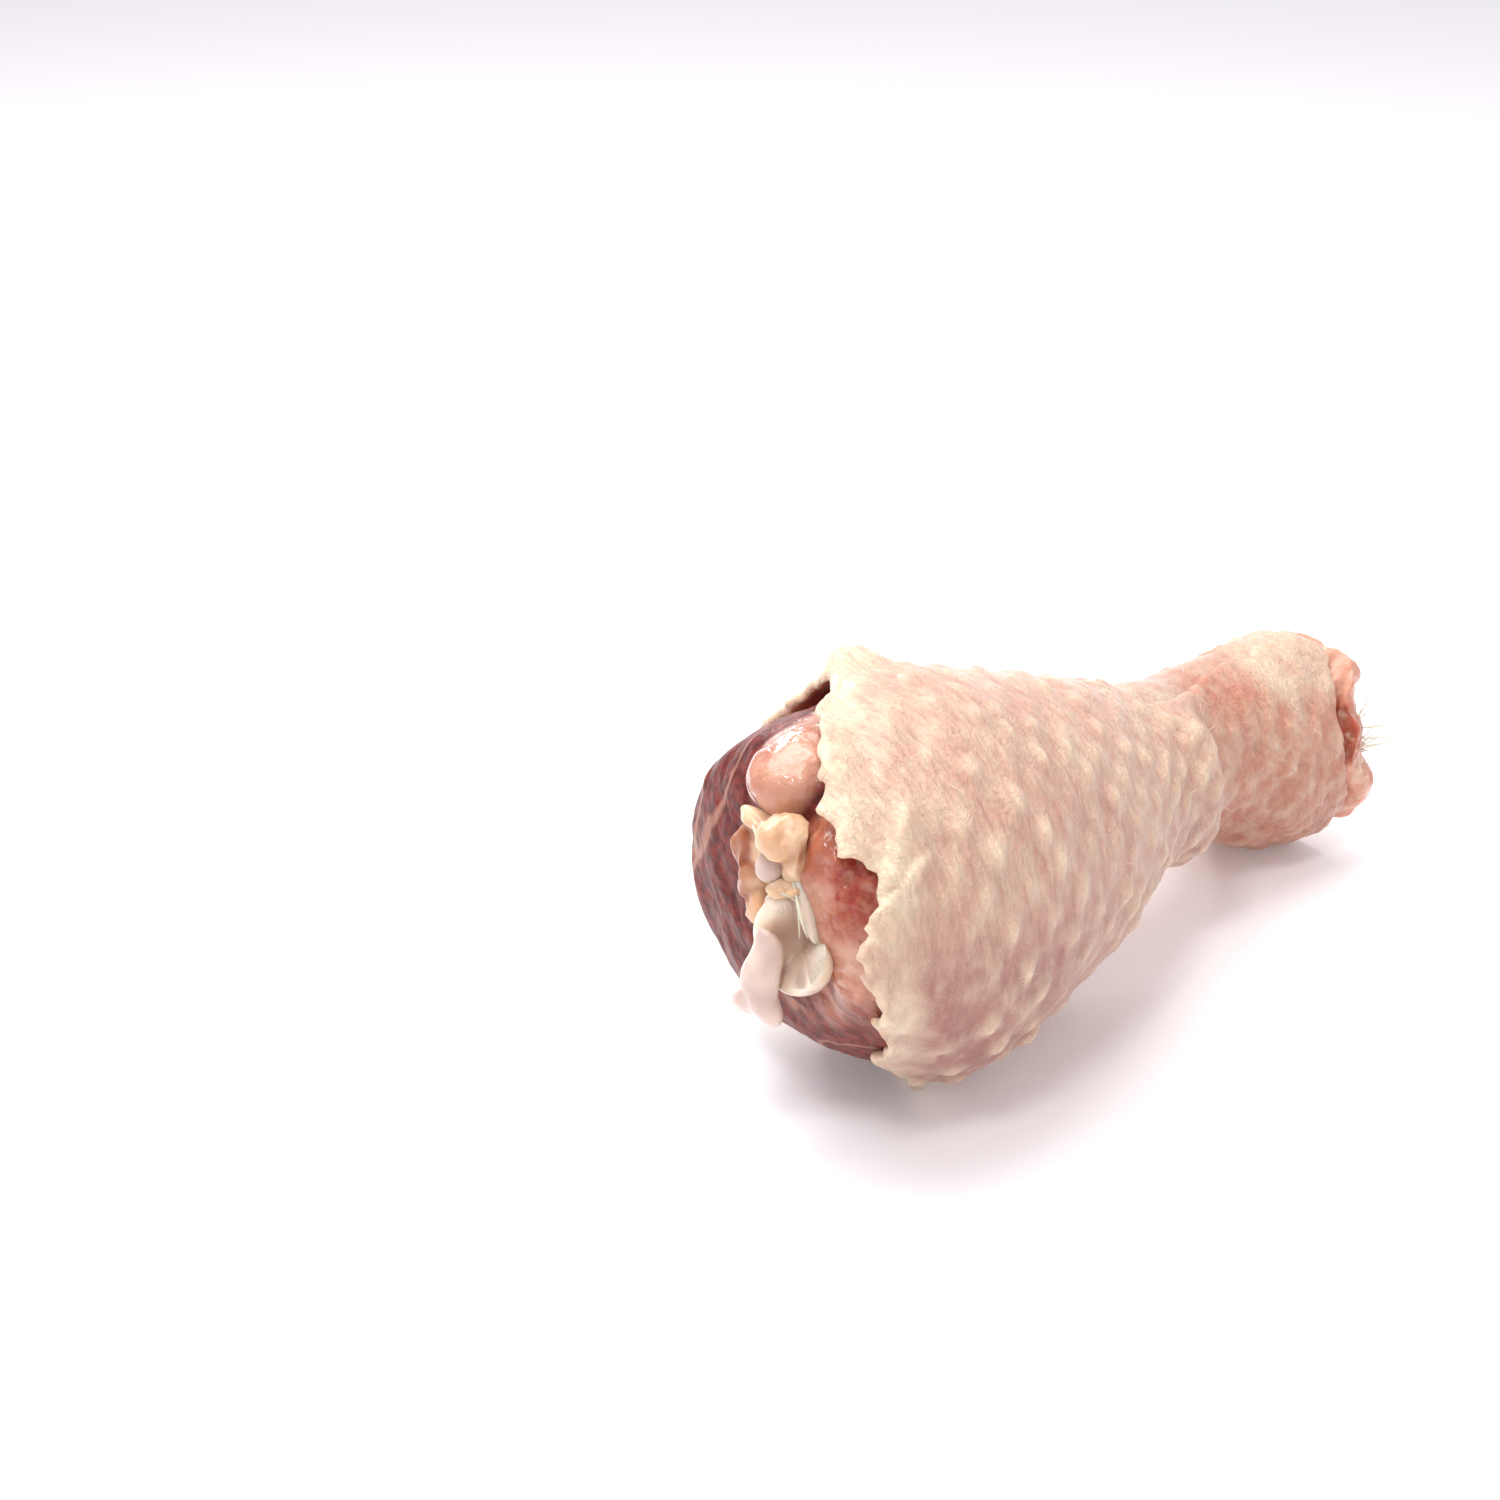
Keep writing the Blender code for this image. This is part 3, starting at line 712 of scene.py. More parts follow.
@dataclass(frozen=True)
class SoftFat(MoistFlesh):
    """Raw fat in lumps: cream yellow, greasy, with fine grains."""

    name: str = "raw_fat_lumps"
    roughness: float = 0.34
    scatter: float = 0.5
    scatter_radius: Triple = (2.4, 1.4, 0.7)
    film: float = 0.45
    film_roughness: float = 0.16
    cream: str = "DDB18B"
    pale: str = "ECCFB0"
    # Painted shade colour for the hollows and the far side
    peach: str = "9C5636"

    def material(self) -> bpy.types.Material:
        """Cream with paler patches, and peach painted shade in the hollows and low on the far side."""
        material, tree, shader, place = self.start()
        dark = self.painted(tree, Layer.DARK)
        clouds = self.speckle(tree, place, 2.6, 0.35, 0.75)
        colour = self.tint(tree, clouds, linear(self.cream), linear(self.pale))
        # Painted shade in peach
        colour = self.tint(tree, dark, colour, linear(self.peach))
        tree.links.new(colour, shader.inputs["Base Color"])
        relief = self.bump(tree, self.noise(tree, place, 0.9), 0.3, 0.6)
        tree.links.new(relief, shader.inputs["Normal"])
        return material


@dataclass(frozen=True)
class HockFlesh(MoistFlesh):
    """Tendon and joint skin at the cut hock: orange pink, with cream strands."""

    name: str = "hock_tendon_flesh"
    roughness: float = 0.36
    scatter: float = 0.45
    scatter_radius: Triple = (2.6, 0.9, 0.5)
    film: float = 0.4
    film_roughness: float = 0.18
    pink: str = "D89F86"
    # Deeper orange, painted as shade in the hollows
    orange: str = "AE5540"
    cream: str = "EFD6B8"

    def material(self) -> bpy.types.Material:
        """Orange pink, with deeper orange painted shade in the hollows, and cream strands along the leg."""
        material, tree, shader, place = self.start()
        dark = self.painted(tree, Layer.DARK)
        drawn_out = add(tree, "ShaderNodeMapping", {"Vector": place, "Scale": (0.35, 1.0, 1.0)})
        strands = self.speckle(tree, drawn_out.outputs[0], 1.6, 0.5, 0.75, 4.0)
        # Painted shade: deeper orange in the hollows
        colour = self.tint(tree, dark, linear(self.pink), linear(self.orange))
        colour = self.tint(tree, self.times(tree, strands, 0.6), colour, linear(self.cream))
        tree.links.new(colour, shader.inputs["Base Color"])
        relief = self.bump(tree, self.noise(tree, place, 1.1, 4.0), 0.4, 0.7)
        tree.links.new(relief, shader.inputs["Normal"])
        return material


@dataclass
class SkinSleeve:
    """The sleeve of skin, drawn back from the knee and cut at the hock."""

    thickness: float = 1.4
    columns: int = 300
    rows: int = 270
    lip_rows: int = 7
    lining_rows: int = 44
    # Feather pits stand in staggered rows: their spacing round and along the leg, and their size
    pit_angle: float = 10.2
    pit_spacing: float = 6.6
    pit_round: float = 1.75
    pit_along: float = 1.3
    pit_height: float = 0.95
    # Curled flap on the upper edge: place along X, degrees, reach of each, height
    flap: tuple[float, float, float, float, float] = (15.5, 66.0, 3.8, 6.5, 3.4)
    # Radii at which the edges' noise is read, and the shred that hangs low: degrees, reach, length
    knee_radius: float = 26.0
    hock_radius: float = 15.0
    shred: Triple = (232.0, 4.5, 4.0)
    # Small pits low on the knuckle: place along X, degrees, millimetres a degree, reach, depth
    low_pits: tuple = ((82.0, 159.0, 0.24, 1.0, 0.7), (90.0, 168.5, 0.26, 0.9, 0.6))
    # Bulge before the neck and hollow behind it: place along X, reach, height
    neck_bulge: Triple = (63.5, 3.6, 1.7)
    neck_hollow: Triple = (70.0, 2.4, 1.2)
    # Line of the crease: place along X, degrees
    crease_line: tuple = (
        (56.0, 108.0), (60.0, 105.0), (68.0, 105.0), (80.0, 96.0), (89.0, 87.0), (93.0, 84.0),
    )
    fold_pitch: float = 7.8
    fold_height: float = 0.39
    fold_reach: float = 13.9
    finish: RawSkin = field(default_factory=RawSkin)

    @staticmethod
    def circle(angle: np.ndarray, radius: float) -> np.ndarray:
        """Points on a flat circle, where noise round an edge is read."""
        turn = np.radians(angle)
        return np.stack([radius * np.cos(turn), radius * np.sin(turn), 0 * turn], -1)

    def knee_edge(self, angle: np.ndarray) -> np.ndarray:
        """Where the skin starts at the knee: the drawn line, made ragged by noise of three sizes."""
        ring = self.circle(angle, self.knee_radius)
        ragged = 0.8 * cloud(ring, 6.0, 11) + 0.75 * cloud(ring, 2.4, 12) + 0.5 * cloud(ring, 1.1, 13)
        shred_angle, shred_reach, shred_length = self.shred
        shred = shred_length * hill(angle - shred_angle, shred_reach)
        return follow(KNEE_EDGE, angle)[..., 0] + ragged - shred

    def hock_edge(self, angle: np.ndarray) -> np.ndarray:
        """Where the skin ends at the hock: the drawn line with a slight wave."""
        ring = self.circle(angle, self.hock_radius)
        return follow(HOCK_EDGE, angle)[..., 0] + 0.5 * cloud(ring, 4.0, 21) + 0.25 * cloud(ring, 1.5, 22)

    def pits(self, along: np.ndarray, angle: np.ndarray) -> np.ndarray:
        """Mounds at the feather pits: two shifted lattices, each mound moved and scaled by chance."""
        place = np.stack([along, 24 * np.cos(np.radians(angle)), 24 * np.sin(np.radians(angle))], -1)
        along = along + 1.1 * cloud(place, 14.0, 31)
        angle = angle + 2.6 * cloud(place, 17.0, 32)
        radius = follow(LEG_SECTIONS, along)[..., 1]
        total = np.zeros(along.shape)
        count = round(360 / (2 * self.pit_angle))
        step = 360 / count
        for shift in (0.0, 0.5):
            row = angle / step + shift
            column = along / self.pit_spacing + shift
            cell = np.stack([np.floor(column), np.floor(row) % count, 0 * row], -1)
            off_along = (scatter(cell, 41) - 0.5) * 0.34
            off_angle = (scatter(cell, 42) - 0.5) * 0.3
            strength = np.clip(0.25 + 0.95 * scatter(cell, 43), 0.0, 1.0)
            across = (column - np.floor(column) - 0.5 - off_along) * self.pit_spacing
            round_leg = (row - np.floor(row) - 0.5 - off_angle) * np.radians(step) * radius
            across = across + 0.25 * round_leg
            total += strength * np.exp(-(across / self.pit_along) ** 2 - (round_leg / self.pit_round) ** 2)
        return total

    def pit_share(self, along: np.ndarray, angle: np.ndarray) -> np.ndarray:
        """How strongly the pits show: full on the calf, less by the knee's top and on the knuckle."""
        calf = ramp(along, -2.0, 8.0) * (1 - 0.75 * ramp(along, 60.0, 68.0))
        top_left = ramp(18 - along, 0.0, 10.0) * ramp(128 - angle, 0.0, 25.0) * ramp(angle, 0.0, 40.0)
        top = ramp(155.0 - angle, 0.0, 45.0) * ramp(angle, 0.0, 50.0)
        return np.clip((calf * (1 - 0.6 * top_left) + 0.15) * (1 - 0.45 * top), 0.0, 1.0)

    def ridges(self, along: np.ndarray, angle: np.ndarray) -> np.ndarray:
        """Two rolled folds of fat behind the notch in the edge, each a bell across a slanted line."""
        first = hill(along - (-0.7 - 0.27 * (angle - 131)), 1.3)
        first = first * ramp(angle, 126, 131) * ramp(152 - angle, 0, 4)
        second = hill(along - (-0.6 - 0.6 * (angle - 144)), 1.5)
        second = second * ramp(angle, 141, 146) * ramp(160 - angle, 0, 4)
        return np.maximum(first, second)

    def crease(self, along: np.ndarray, angle: np.ndarray) -> tuple[np.ndarray, np.ndarray]:
        """The fold that climbs from the neck to the knuckle's top.

        Returns:
            Its groove, and the lower ground on its far side.
        """
        line = follow(self.crease_line, along)[..., 0]
        radius = follow(LEG_SECTIONS, along)[..., 1]
        off = np.radians(angle - line) * radius
        present = ramp(along, 57.0, 63.0) * ramp(96.0 - along, 0.0, 8.0)
        return hill(off, 0.9) * present, ramp(-off, -0.5, 1.8) * ramp(angle, 30.0, 70.0) * present

    @staticmethod
    def crumbly(along: np.ndarray, angle: np.ndarray) -> np.ndarray:
        """Where the knuckle's skin is torn into crumbs."""
        return np.exp(-((along - 88.0) / 6.0) ** 2 - ((angle - 166.0) / 24.0) ** 2)

    def relief(self, along: np.ndarray, angle: np.ndarray, knee: np.ndarray, base: np.ndarray) -> np.ndarray:
        """How far the skin stands off the leg's outline, in millimetres."""
        flap_x, flap_angle, reach_x, reach_angle, flap_height = self.flap
        flap = np.exp(-((along - flap_x) / reach_x) ** 2 - ((angle - flap_angle) / reach_angle) ** 2)
        behind = np.exp(-(along - knee) / self.fold_reach)
        folds = np.sin((along + 0.19 * angle) * 2 * math.pi / self.fold_pitch)
        on_top = np.clip(np.sin(np.radians(angle)) + 0.6, 0.0, 1.0)
        knuckle = ramp(along, 70.0, 80.0)
        height = flap_height * flap * (1 + 0.6 * cloud(base, 2.4, 51, 2)) - 0.3
        height = height + self.fold_height * behind * folds * on_top
        height = height + self.pit_height * self.pits(along, angle) * self.pit_share(along, angle)
        height = height + (0.28 + 0.25 * knuckle) * cloud(base, (7.0, 5.0, 5.0), 52, 2)
        height = height + (0.18 + 0.3 * knuckle) * cloud(base, (1.5, 2.6, 2.6), 53, 3)
        height = height + 0.45 * ramp(knee + 6.0 - along, 0.0, 6.0) * cloud(base, 2.3, 55, 2)
        height = height + 0.9 * self.ridges(along, angle)
        height = height + 0.7 * self.crumbly(along, angle) * cloud(base, 1.9, 56, 3)
        near_side = ramp(angle, 112.0, 140.0) * ramp(268.0 - angle, 0.0, 22.0)
        bulge, hollow = (tall * hill(along - middle, reach)
                         for middle, reach, tall in (self.neck_bulge, self.neck_hollow))
        height = height + near_side * (bulge - hollow)
        groove, low = self.crease(along, angle)
        height = height - 0.9 * groove - 1.3 * low
        for middle, degrees, scale, reach, deep in self.low_pits:
            height = height - deep * hill(np.hypot(along - middle, (angle - degrees) * scale), reach)
        lip = hill(along - knee, 1.8)
        return np.maximum(height + 0.35 * lip * (1 + cloud(base, 2.2, 54)), -0.9)

    def paint(self, along: np.ndarray, angle: np.ndarray, knee: np.ndarray,
              base: np.ndarray) -> Paint:
        """Where the skin is cream, where it is pink-mauve in patches and with painted shade underneath, and
        its grain for the wrinkles.
        """
        pits = self.pits(along, angle) * self.pit_share(along, angle)
        band = ramp(knee + 7.0 + 2.5 * cloud(base, 4.0, 63) - along, 0.0, 6.0)
        band = band * (0.75 + 0.4 * cloud(base, 2.5, 61))
        ridge = self.ridges(along, angle)
        flap = hill(np.hypot((along - self.flap[0]) / 1.3, (angle - self.flap[1]) / 1.6), 4.5)
        hock_top = ramp(along, 88.0, 100.0) * ramp(np.sin(np.radians(angle)), 0.55, 0.9)
        upper = 0.2 * ramp(20.0 - along, 0.0, 20.0) * ramp(172.0 - angle, 0.0, 25.0) * ramp(angle, 0.0, 40.0)
        cream = 0.8 * pits + 0.85 * band + 0.7 * ridge + 0.8 * flap + 0.45 * hock_top + upper
        yellow_band = hill(along - 91.5, 3.2) * ramp(angle, 82.0, 100.0) * ramp(142.0 - angle, 0.0, 18.0)
        crumbs = ramp(cloud(base, 1.1, 65, 2), -0.15, 0.5) * self.crumbly(along, angle)
        cream = cream + 0.6 * yellow_band + 0.35 * crumbs + 0.25 * cloud(base, (1.5, 2.6, 2.6), 53, 3)
        cream = np.clip(cream, 0.0, 0.95)
        # Low on the near side by the knee: pinker, and painted shade
        low = ramp(angle, 160.0, 185.0) * ramp(230.0 - angle, 0.0, 20.0) * ramp(28.0 - along, 0.0, 15.0)
        patches = ramp(cloud(base, 8.0, 62, 2), 0.0, 0.7)
        knuckle = ramp(along, 66.0, 74.0) * (1 - hock_top)
        # Painted shade: the underside darker in mauve
        under = ramp(angle, 145.0, 225.0) * ramp(360.0 - angle, 0.0, 75.0)
        rosy_and_shade = np.clip(0.3 * low + 0.18 * patches + 0.6 * under, 0.0, 0.85) * (1 - 0.6 * cream)
        blush = np.clip(knuckle * (0.55 + 0.35 * cloud(base, 4.0, 64, 3)), 0.0, 0.9) * (1 - 0.7 * cream)
        turn = np.radians(angle + 0.5 * along)
        grain = np.stack([along, 10 * np.cos(turn), 10 * np.sin(turn)], -1)
        return {Layer.CREAM: cream, Layer.ROSY_AND_SHADE: rosy_and_shade,
                Layer.RAW: blush, Layer.GRAIN: grain}

    def grid(self) -> tuple[np.ndarray, Paint]:
        """Rings over the outside, round the hock lip, back through the lining and round the knee lip.

        Returns:
            The closed rings, and the paint for each point.
        """
        angle = np.linspace(0.0, 360.0, self.columns, endpoint=False)[None, :]
        knee, hock = self.knee_edge(angle), self.hock_edge(angle)
        share = np.linspace(0.0, 1.0, self.rows)[:, None]
        along = knee + (hock - knee) * share
        angles = angle + 0 * along
        base = leg_surface(along, angles, 0.0)
        square = outward_normals(base)
        outer = base + square * self.relief(along, angles, knee, base)[..., None]
        half = self.thickness / 2
        bend = np.linspace(0.0, math.pi, self.lip_rows + 2)[1:-1, None, None]

        def lip(row: int, beside: int, order: int) -> np.ndarray:
            """A rounded edge: a half circle from the outer surface to the lining."""
            away = outer[row] - outer[beside]
            away /= np.linalg.norm(away, axis=-1, keepdims=True)
            centre = outer[row] - square[row] * half
            ring = centre + square[row] * half * np.cos(bend) + away * half * np.sin(bend)
            return ring[::order]

        back = np.linspace(1.0, 0.0, self.lining_rows)[:, None]
        in_along = knee + (hock - knee) * back
        lining = leg_surface(in_along, angle + 0 * in_along, self.thickness)
        lining[0] = outer[-1] - square[-1] * self.thickness
        lining[-1] = outer[0] - square[0] * self.thickness
        rings = np.concatenate([outer, lip(-1, -3, 1), lining, lip(0, 2, -1)])
        rings[..., 2] = np.maximum(rings[..., 2], 0.0)
        full_along = np.concatenate([along, 0 * bend[..., 0] + hock, in_along, 0 * bend[..., 0] + knee])
        full_angle = angle + 0 * full_along
        return rings, self.paint(full_along, full_angle, knee, rings)

    def build(self) -> bpy.types.Object:
        """Make the sleeve."""
        rings, paint = self.grid()
        flat = {layer: values.reshape(-1, 3) if values.ndim == 3 else values.reshape(-1)
                for layer, values in paint.items()}
        rows, columns = rings.shape[:2]
        piece = new_piece("skin_sleeve", rings.reshape(-1, 3), grid_faces(rows, columns, True), None, flat,
                          self.finish.material())
        return place_piece(piece, "skin")


@dataclass
class KneeMuscle:
    """The muscle: a domed face, the round calf head above and the strip down the near side."""

    inset: float = 1.55
    hock_end: float = 87.9
    dome_centre: Triple = (2.0, 0.9, 28.0)
    dome_size: Triple = (9.5, 26.5, 25.2)
    calf_head: tuple = (
        Blob((6.0, 3.4, 46.6), (14.0, 6.5, 7.0)),
        Blob((-3.0, 2.4, 47.9), (5.5, 5.2, 5.4)),
    )
    shin_strip: tuple = (
        Blob((-2.0, -8.2, 39.4), (7.5, 6.5, 7.5)),
        Blob((-1.0, -11.2, 31.9), (8.0, 7.5, 7.5)),
        Blob((-1.0, -14.5, 25.1), (7.5, 6.5, 6.5)),
        Blob((0.0, -15.9, 18.5), (5.0, 4.5, 4.5)),
        Blob((-1.0, -13.8, 37.2), (6.5, 5.5, 8.0)),
    )
    # Torn red patch between the strip and the skin's edge: its middle and reach
    torn: tuple = ((-6.5, -13.5, 42.0), (5.0, 4.2, 6.0))
    shell: Shell = Shell((12.2, 0.9, 29.6), (84.4, 8.4, 18.7), 300, (240, 20, 3), 62.0)
    finish: RawMuscle = field(default_factory=RawMuscle)

    def parts(self, points: np.ndarray) -> tuple[np.ndarray, np.ndarray, np.ndarray]:
        """The depths of the domed face, the calf head and the strip."""
        half = np.array(self.dome_size)
        offset = points - np.array(self.dome_centre)
        offset[..., 0] = np.minimum(offset[..., 0], 0.0)
        dome = (np.linalg.norm(offset / half, axis=-1) - 1) * half.min()
        return dome, blobs_depth(points, self.calf_head, 1.0), blobs_depth(points, self.shin_strip, 1.4)

    def depth(self, points: np.ndarray) -> np.ndarray:
        """The muscle, kept inside the skin, with soft lumps."""
        heads = merged(list(self.parts(points)), 0.5) + 0.35 * cloud(points, 5.0, 71)
        kept = -merged([-heads, -leg_depth(points, self.inset)], 1.3)
        return np.maximum(kept, points[..., 0] - self.hock_end)

    def regions(self, points: np.ndarray) -> tuple[np.ndarray, np.ndarray, np.ndarray]:
        """How far a point belongs to the calf head, the strip and the torn patch."""
        dome, calf, strip = self.parts(points)
        on_calf = ramp(strip - calf, -0.3, 1.2) * ramp(dome - calf, -0.6, 1.4)
        on_strip = ramp(calf - strip, -0.3, 1.2) * ramp(dome - strip, -0.8, 1.2)
        torn = np.clip(1.5 * bell(points, *self.torn) + 0.35 * cloud(points, 2.6, 73), 0.0, 1.0)
        return on_calf, on_strip, torn * ramp(points[..., 2], 30.0, 35.0) * (1 - on_calf)

    def relief(self, points: np.ndarray) -> np.ndarray:
        """Grains on the torn patch and fibres on the dark face, in millimetres."""
        on_calf, on_strip, torn = self.regions(points)
        across = np.stack([points[..., 0], 0.72 * points[..., 1] + 0.69 * points[..., 2],
                           0.69 * points[..., 1] - 0.72 * points[..., 2]], -1)
        fibres = cloud(across, (5.0, 9.0, 1.8), 74, 2) * (1 - on_calf) * (1 - on_strip)
        lumps = (0.25 + 0.45 * on_strip) * cloud(points, 3.2, 79, 2)
        return 0.8 * torn * cloud(points, 2.2, 75, 3) + 0.16 * fibres + lumps + 0.08 * cloud(points, 1.2, 76)

    def paint(self, points: np.ndarray) -> Paint:
        """Red on the torn patch, dark on the face below and behind, painted shade low on the strip, cream
        bits under the bone.
        """
        on_calf, on_strip, torn = self.regions(points)
        bare = (1 - on_calf) * (1 - on_strip)
        pink = 0.8 * bell(points, (-5.5, -9.5, 20.5), (4.0, 2.2, 2.4))
        # Painted shade: the strip darker below about 27.5 mm high
        dark = np.clip(bare - pink + 0.85 * on_strip * ramp(27.5 - points[..., 2], 0.0, 6.0), 0.0, 1.0)
        bits = bell(points, (-5.5, -4.5, 19.2), (4.0, 3.4, 2.2)) * ramp(cloud(points, 1.8, 77), -0.2, 0.4)
        dots = bell(points, (-4.0, -3.6, 47.5), (4.0, 2.0, 3.0)) * ramp(cloud(points, 1.0, 78), 0.35, 0.55)
        veil = 0.8 * on_calf * ramp(cloud(points, 6.0, 72), -0.5, 0.6)
        seams = 0.45 * bare * ramp(0.07 - np.abs(cloud(points, 8.0, 83)), 0.0, 0.06)
        raw = np.clip(torn + 0.9 * dots, 0.0, 1.0)
        cream = np.clip(veil + bits + seams, 0.0, 1.0)
        return {Layer.RAW: raw, Layer.DARK: dark, Layer.CREAM: cream}

    def build(self) -> bpy.types.Object:
        """Make the muscle."""
        return wrapped_piece("knee_muscle", "meat", self.shell, self.depth, self.relief,
                             self.paint, self.finish.material())


@dataclass
class ShinBone:
    """The shin bone, with the white knobbed head that shows at the knee."""

    axis: tuple = (
        (-12.2, -3.4, 28.5, 4.4), (0.0, -3.0, 28.0, 4.3), (10.4, -1.8, 27.2, 3.9), (34.8, 1.0, 25.0, 3.4),
        (60.9, 4.0, 22.4, 3.3), (78.3, 7.4, 20.0, 3.8), (90.5, 8.7, 17.8, 4.9), (102.7, 8.7, 17.0, 5.4),
    )
    knee_end: float = -9.1
    hock_end: float = 100.5
    # The core, the ridges either side of the dish, and the knobs below it
    head: tuple = (
        Blob((-7.0, -3.4, 28.5), (4.6, 4.2, 6.6)),
        Blob((-10.0, -3.9, 34.1), (2.2, 1.7, 2.6)),
        Blob((-11.0, -2.7, 30.7), (2.2, 1.5, 3.4)),
        Blob((-9.5, -7.3, 34.2), (2.2, 1.5, 4.6)),
        Blob((-8.8, -7.2, 28.0), (3.4, 3.8, 4.2)),
        Blob((-11.0, -10.4, 29.4), (2.8, 2.6, 3.4)),
        Blob((-10.5, -7.3, 25.9), (2.8, 3.2, 2.0)),
    )
    dish: Blob = Blob((-11.4, -6.6, 31.6), (3.4, 1.7, 4.4), (10.0, 0.0, 0.0))
    shell: Shell = Shell((-8.0, -5.0, 28.8), (97.4, 8.7, 17.1), 150, (110, 50, 16), 19.0)
    finish: Cartilage = field(default_factory=Cartilage)

    def depth(self, points: np.ndarray) -> np.ndarray:
        """A shaft that thickens to both ends, joined to the knobs of the head, less the dish."""
        across, height, radius = np.moveaxis(follow(self.axis, points[..., 0]), -1, 0)
        shaft = np.hypot(points[..., 1] - across, points[..., 2] - height) - radius
        shaft = np.maximum(shaft, self.knee_end - points[..., 0])
        shaft = np.maximum(shaft, points[..., 0] - self.hock_end)
        whole = merged([shaft, blobs_depth(points, self.head, 0.55)], 0.6)
        return -merged([-whole, blob_depth(points, self.dish)], 0.35)

    @staticmethod
    def relief(points: np.ndarray) -> np.ndarray:
        """Slight unevenness, in millimetres."""
        return 0.14 * cloud(points, 2.2, 81, 2)

    def paint(self, points: np.ndarray) -> Paint:
        """Peach stains down the shaft; in the dish, peach and a little lilac that are partly stains and
        partly painted shade.
        """
        # Painted shade in the dish, partly stains too
        in_dish = ramp(1.1 - blob_depth(points, self.dish), 0.0, 1.4)
        stained = ramp(points[..., 0], -9.0, -5.0) * 0.5 + 0.4 * ramp(cloud(points, 3.0, 82), 0.2, 0.7)
        return {Layer.RAW: np.clip(0.75 * in_dish + stained, 0.0, 1.0), Layer.DARK: 0.2 * in_dish}

    def build(self) -> bpy.types.Object:
        """Make the bone."""
        return wrapped_piece("shin_bone", "bone", self.shell, self.depth, self.relief,
                             self.paint, self.finish.material())


@dataclass
class JointCartilage:
    """The torn tongue of cartilage that hangs before the bone, and the small bone's grey head."""

    tongue: tuple = (
        Blob((-13.5, -5.1, 30.0), (1.4, 2.2, 3.0)),
        Blob((-14.5, -5.4, 26.5), (1.5, 3.1, 3.4)),
        Blob((-15.0, -2.9, 22.1), (1.6, 2.4, 1.7), (-15.0, 0.0, 0.0)),
        Blob((-15.0, -7.1, 23.0), (1.5, 2.2, 2.4)),
    )
    small_head: tuple = (Blob((-10.5, -2.6, 39.7), (2.2, 1.8, 2.3)),)
    # Thin band of gristle between the fat and the bone's near ridge
    band: tuple = (
        Blob((-9.6, -7.6, 36.4), (1.0, 0.75, 3.2), (-25.0, 0.0, 0.0)),
        Blob((-9.3, -8.9, 33.2), (0.9, 0.7, 2.2), (-20.0, 0.0, 0.0)),
    )
    finish: Cartilage = field(default_factory=Cartilage)

    def tongue_depth(self, points: np.ndarray) -> np.ndarray:
        """Flat lobes that run into each other, bent in a wave down their length."""
        bent = points.copy()
        bent[..., 0] = bent[..., 0] - 0.45 * np.sin((points[..., 2] - 27.5) * 2 * math.pi / 9.0)
        return blobs_depth(bent, self.tongue, 0.6)

    def head_depth(self, points: np.ndarray) -> np.ndarray:
        """A rounded knob."""
        return blobs_depth(points, self.small_head, 0.5)

    def band_depth(self, points: np.ndarray) -> np.ndarray:
        """Two flat lobes, one below the other."""
        return blobs_depth(points, self.band, 0.4)

    @staticmethod
    def relief(points: np.ndarray) -> np.ndarray:
        """Small torn grains, in millimetres."""
        return 0.22 * cloud(points, 1.9, 91, 3)

    @staticmethod
    def paint(points: np.ndarray, lilac: float) -> Paint:
        """A share of lilac with soft patches."""
        dark = np.clip(lilac + 0.2 * cloud(points, 2.5, 92), 0.0, 1.0)
        return {Layer.RAW: np.zeros(len(points)), Layer.DARK: dark}

    def build(self) -> list[bpy.types.Object]:
        """Make the pieces in one finish."""
        material = self.finish.material()
        jobs = (
            ("cartilage_tongue", "knee_cartilage", self.tongue_depth, 0.65,
             Shell((-13.8, -5.2, 29.4), (-14.8, -5.3, 24.4), 110, (34, 26, 34), 12.0)),
            ("small_bone_head", "fibula_head", self.head_depth, 0.75,
             Shell((-11.0, -2.6, 39.7), (-10.0, -2.6, 39.7), 64, (24, 4, 24), 9.0)),
            ("gristle_band", None, self.band_depth, 0.3,
             Shell((-9.6, -7.4, 36.8), (-9.5, -7.9, 35.8), 80, (40, 6, 40), 9.0)),
        )
        return [wrapped_piece(name, node, shell, shape, self.relief,
                              lambda points, lilac=lilac: self.paint(points, lilac), material)
                for name, node, shape, lilac, shell in jobs]


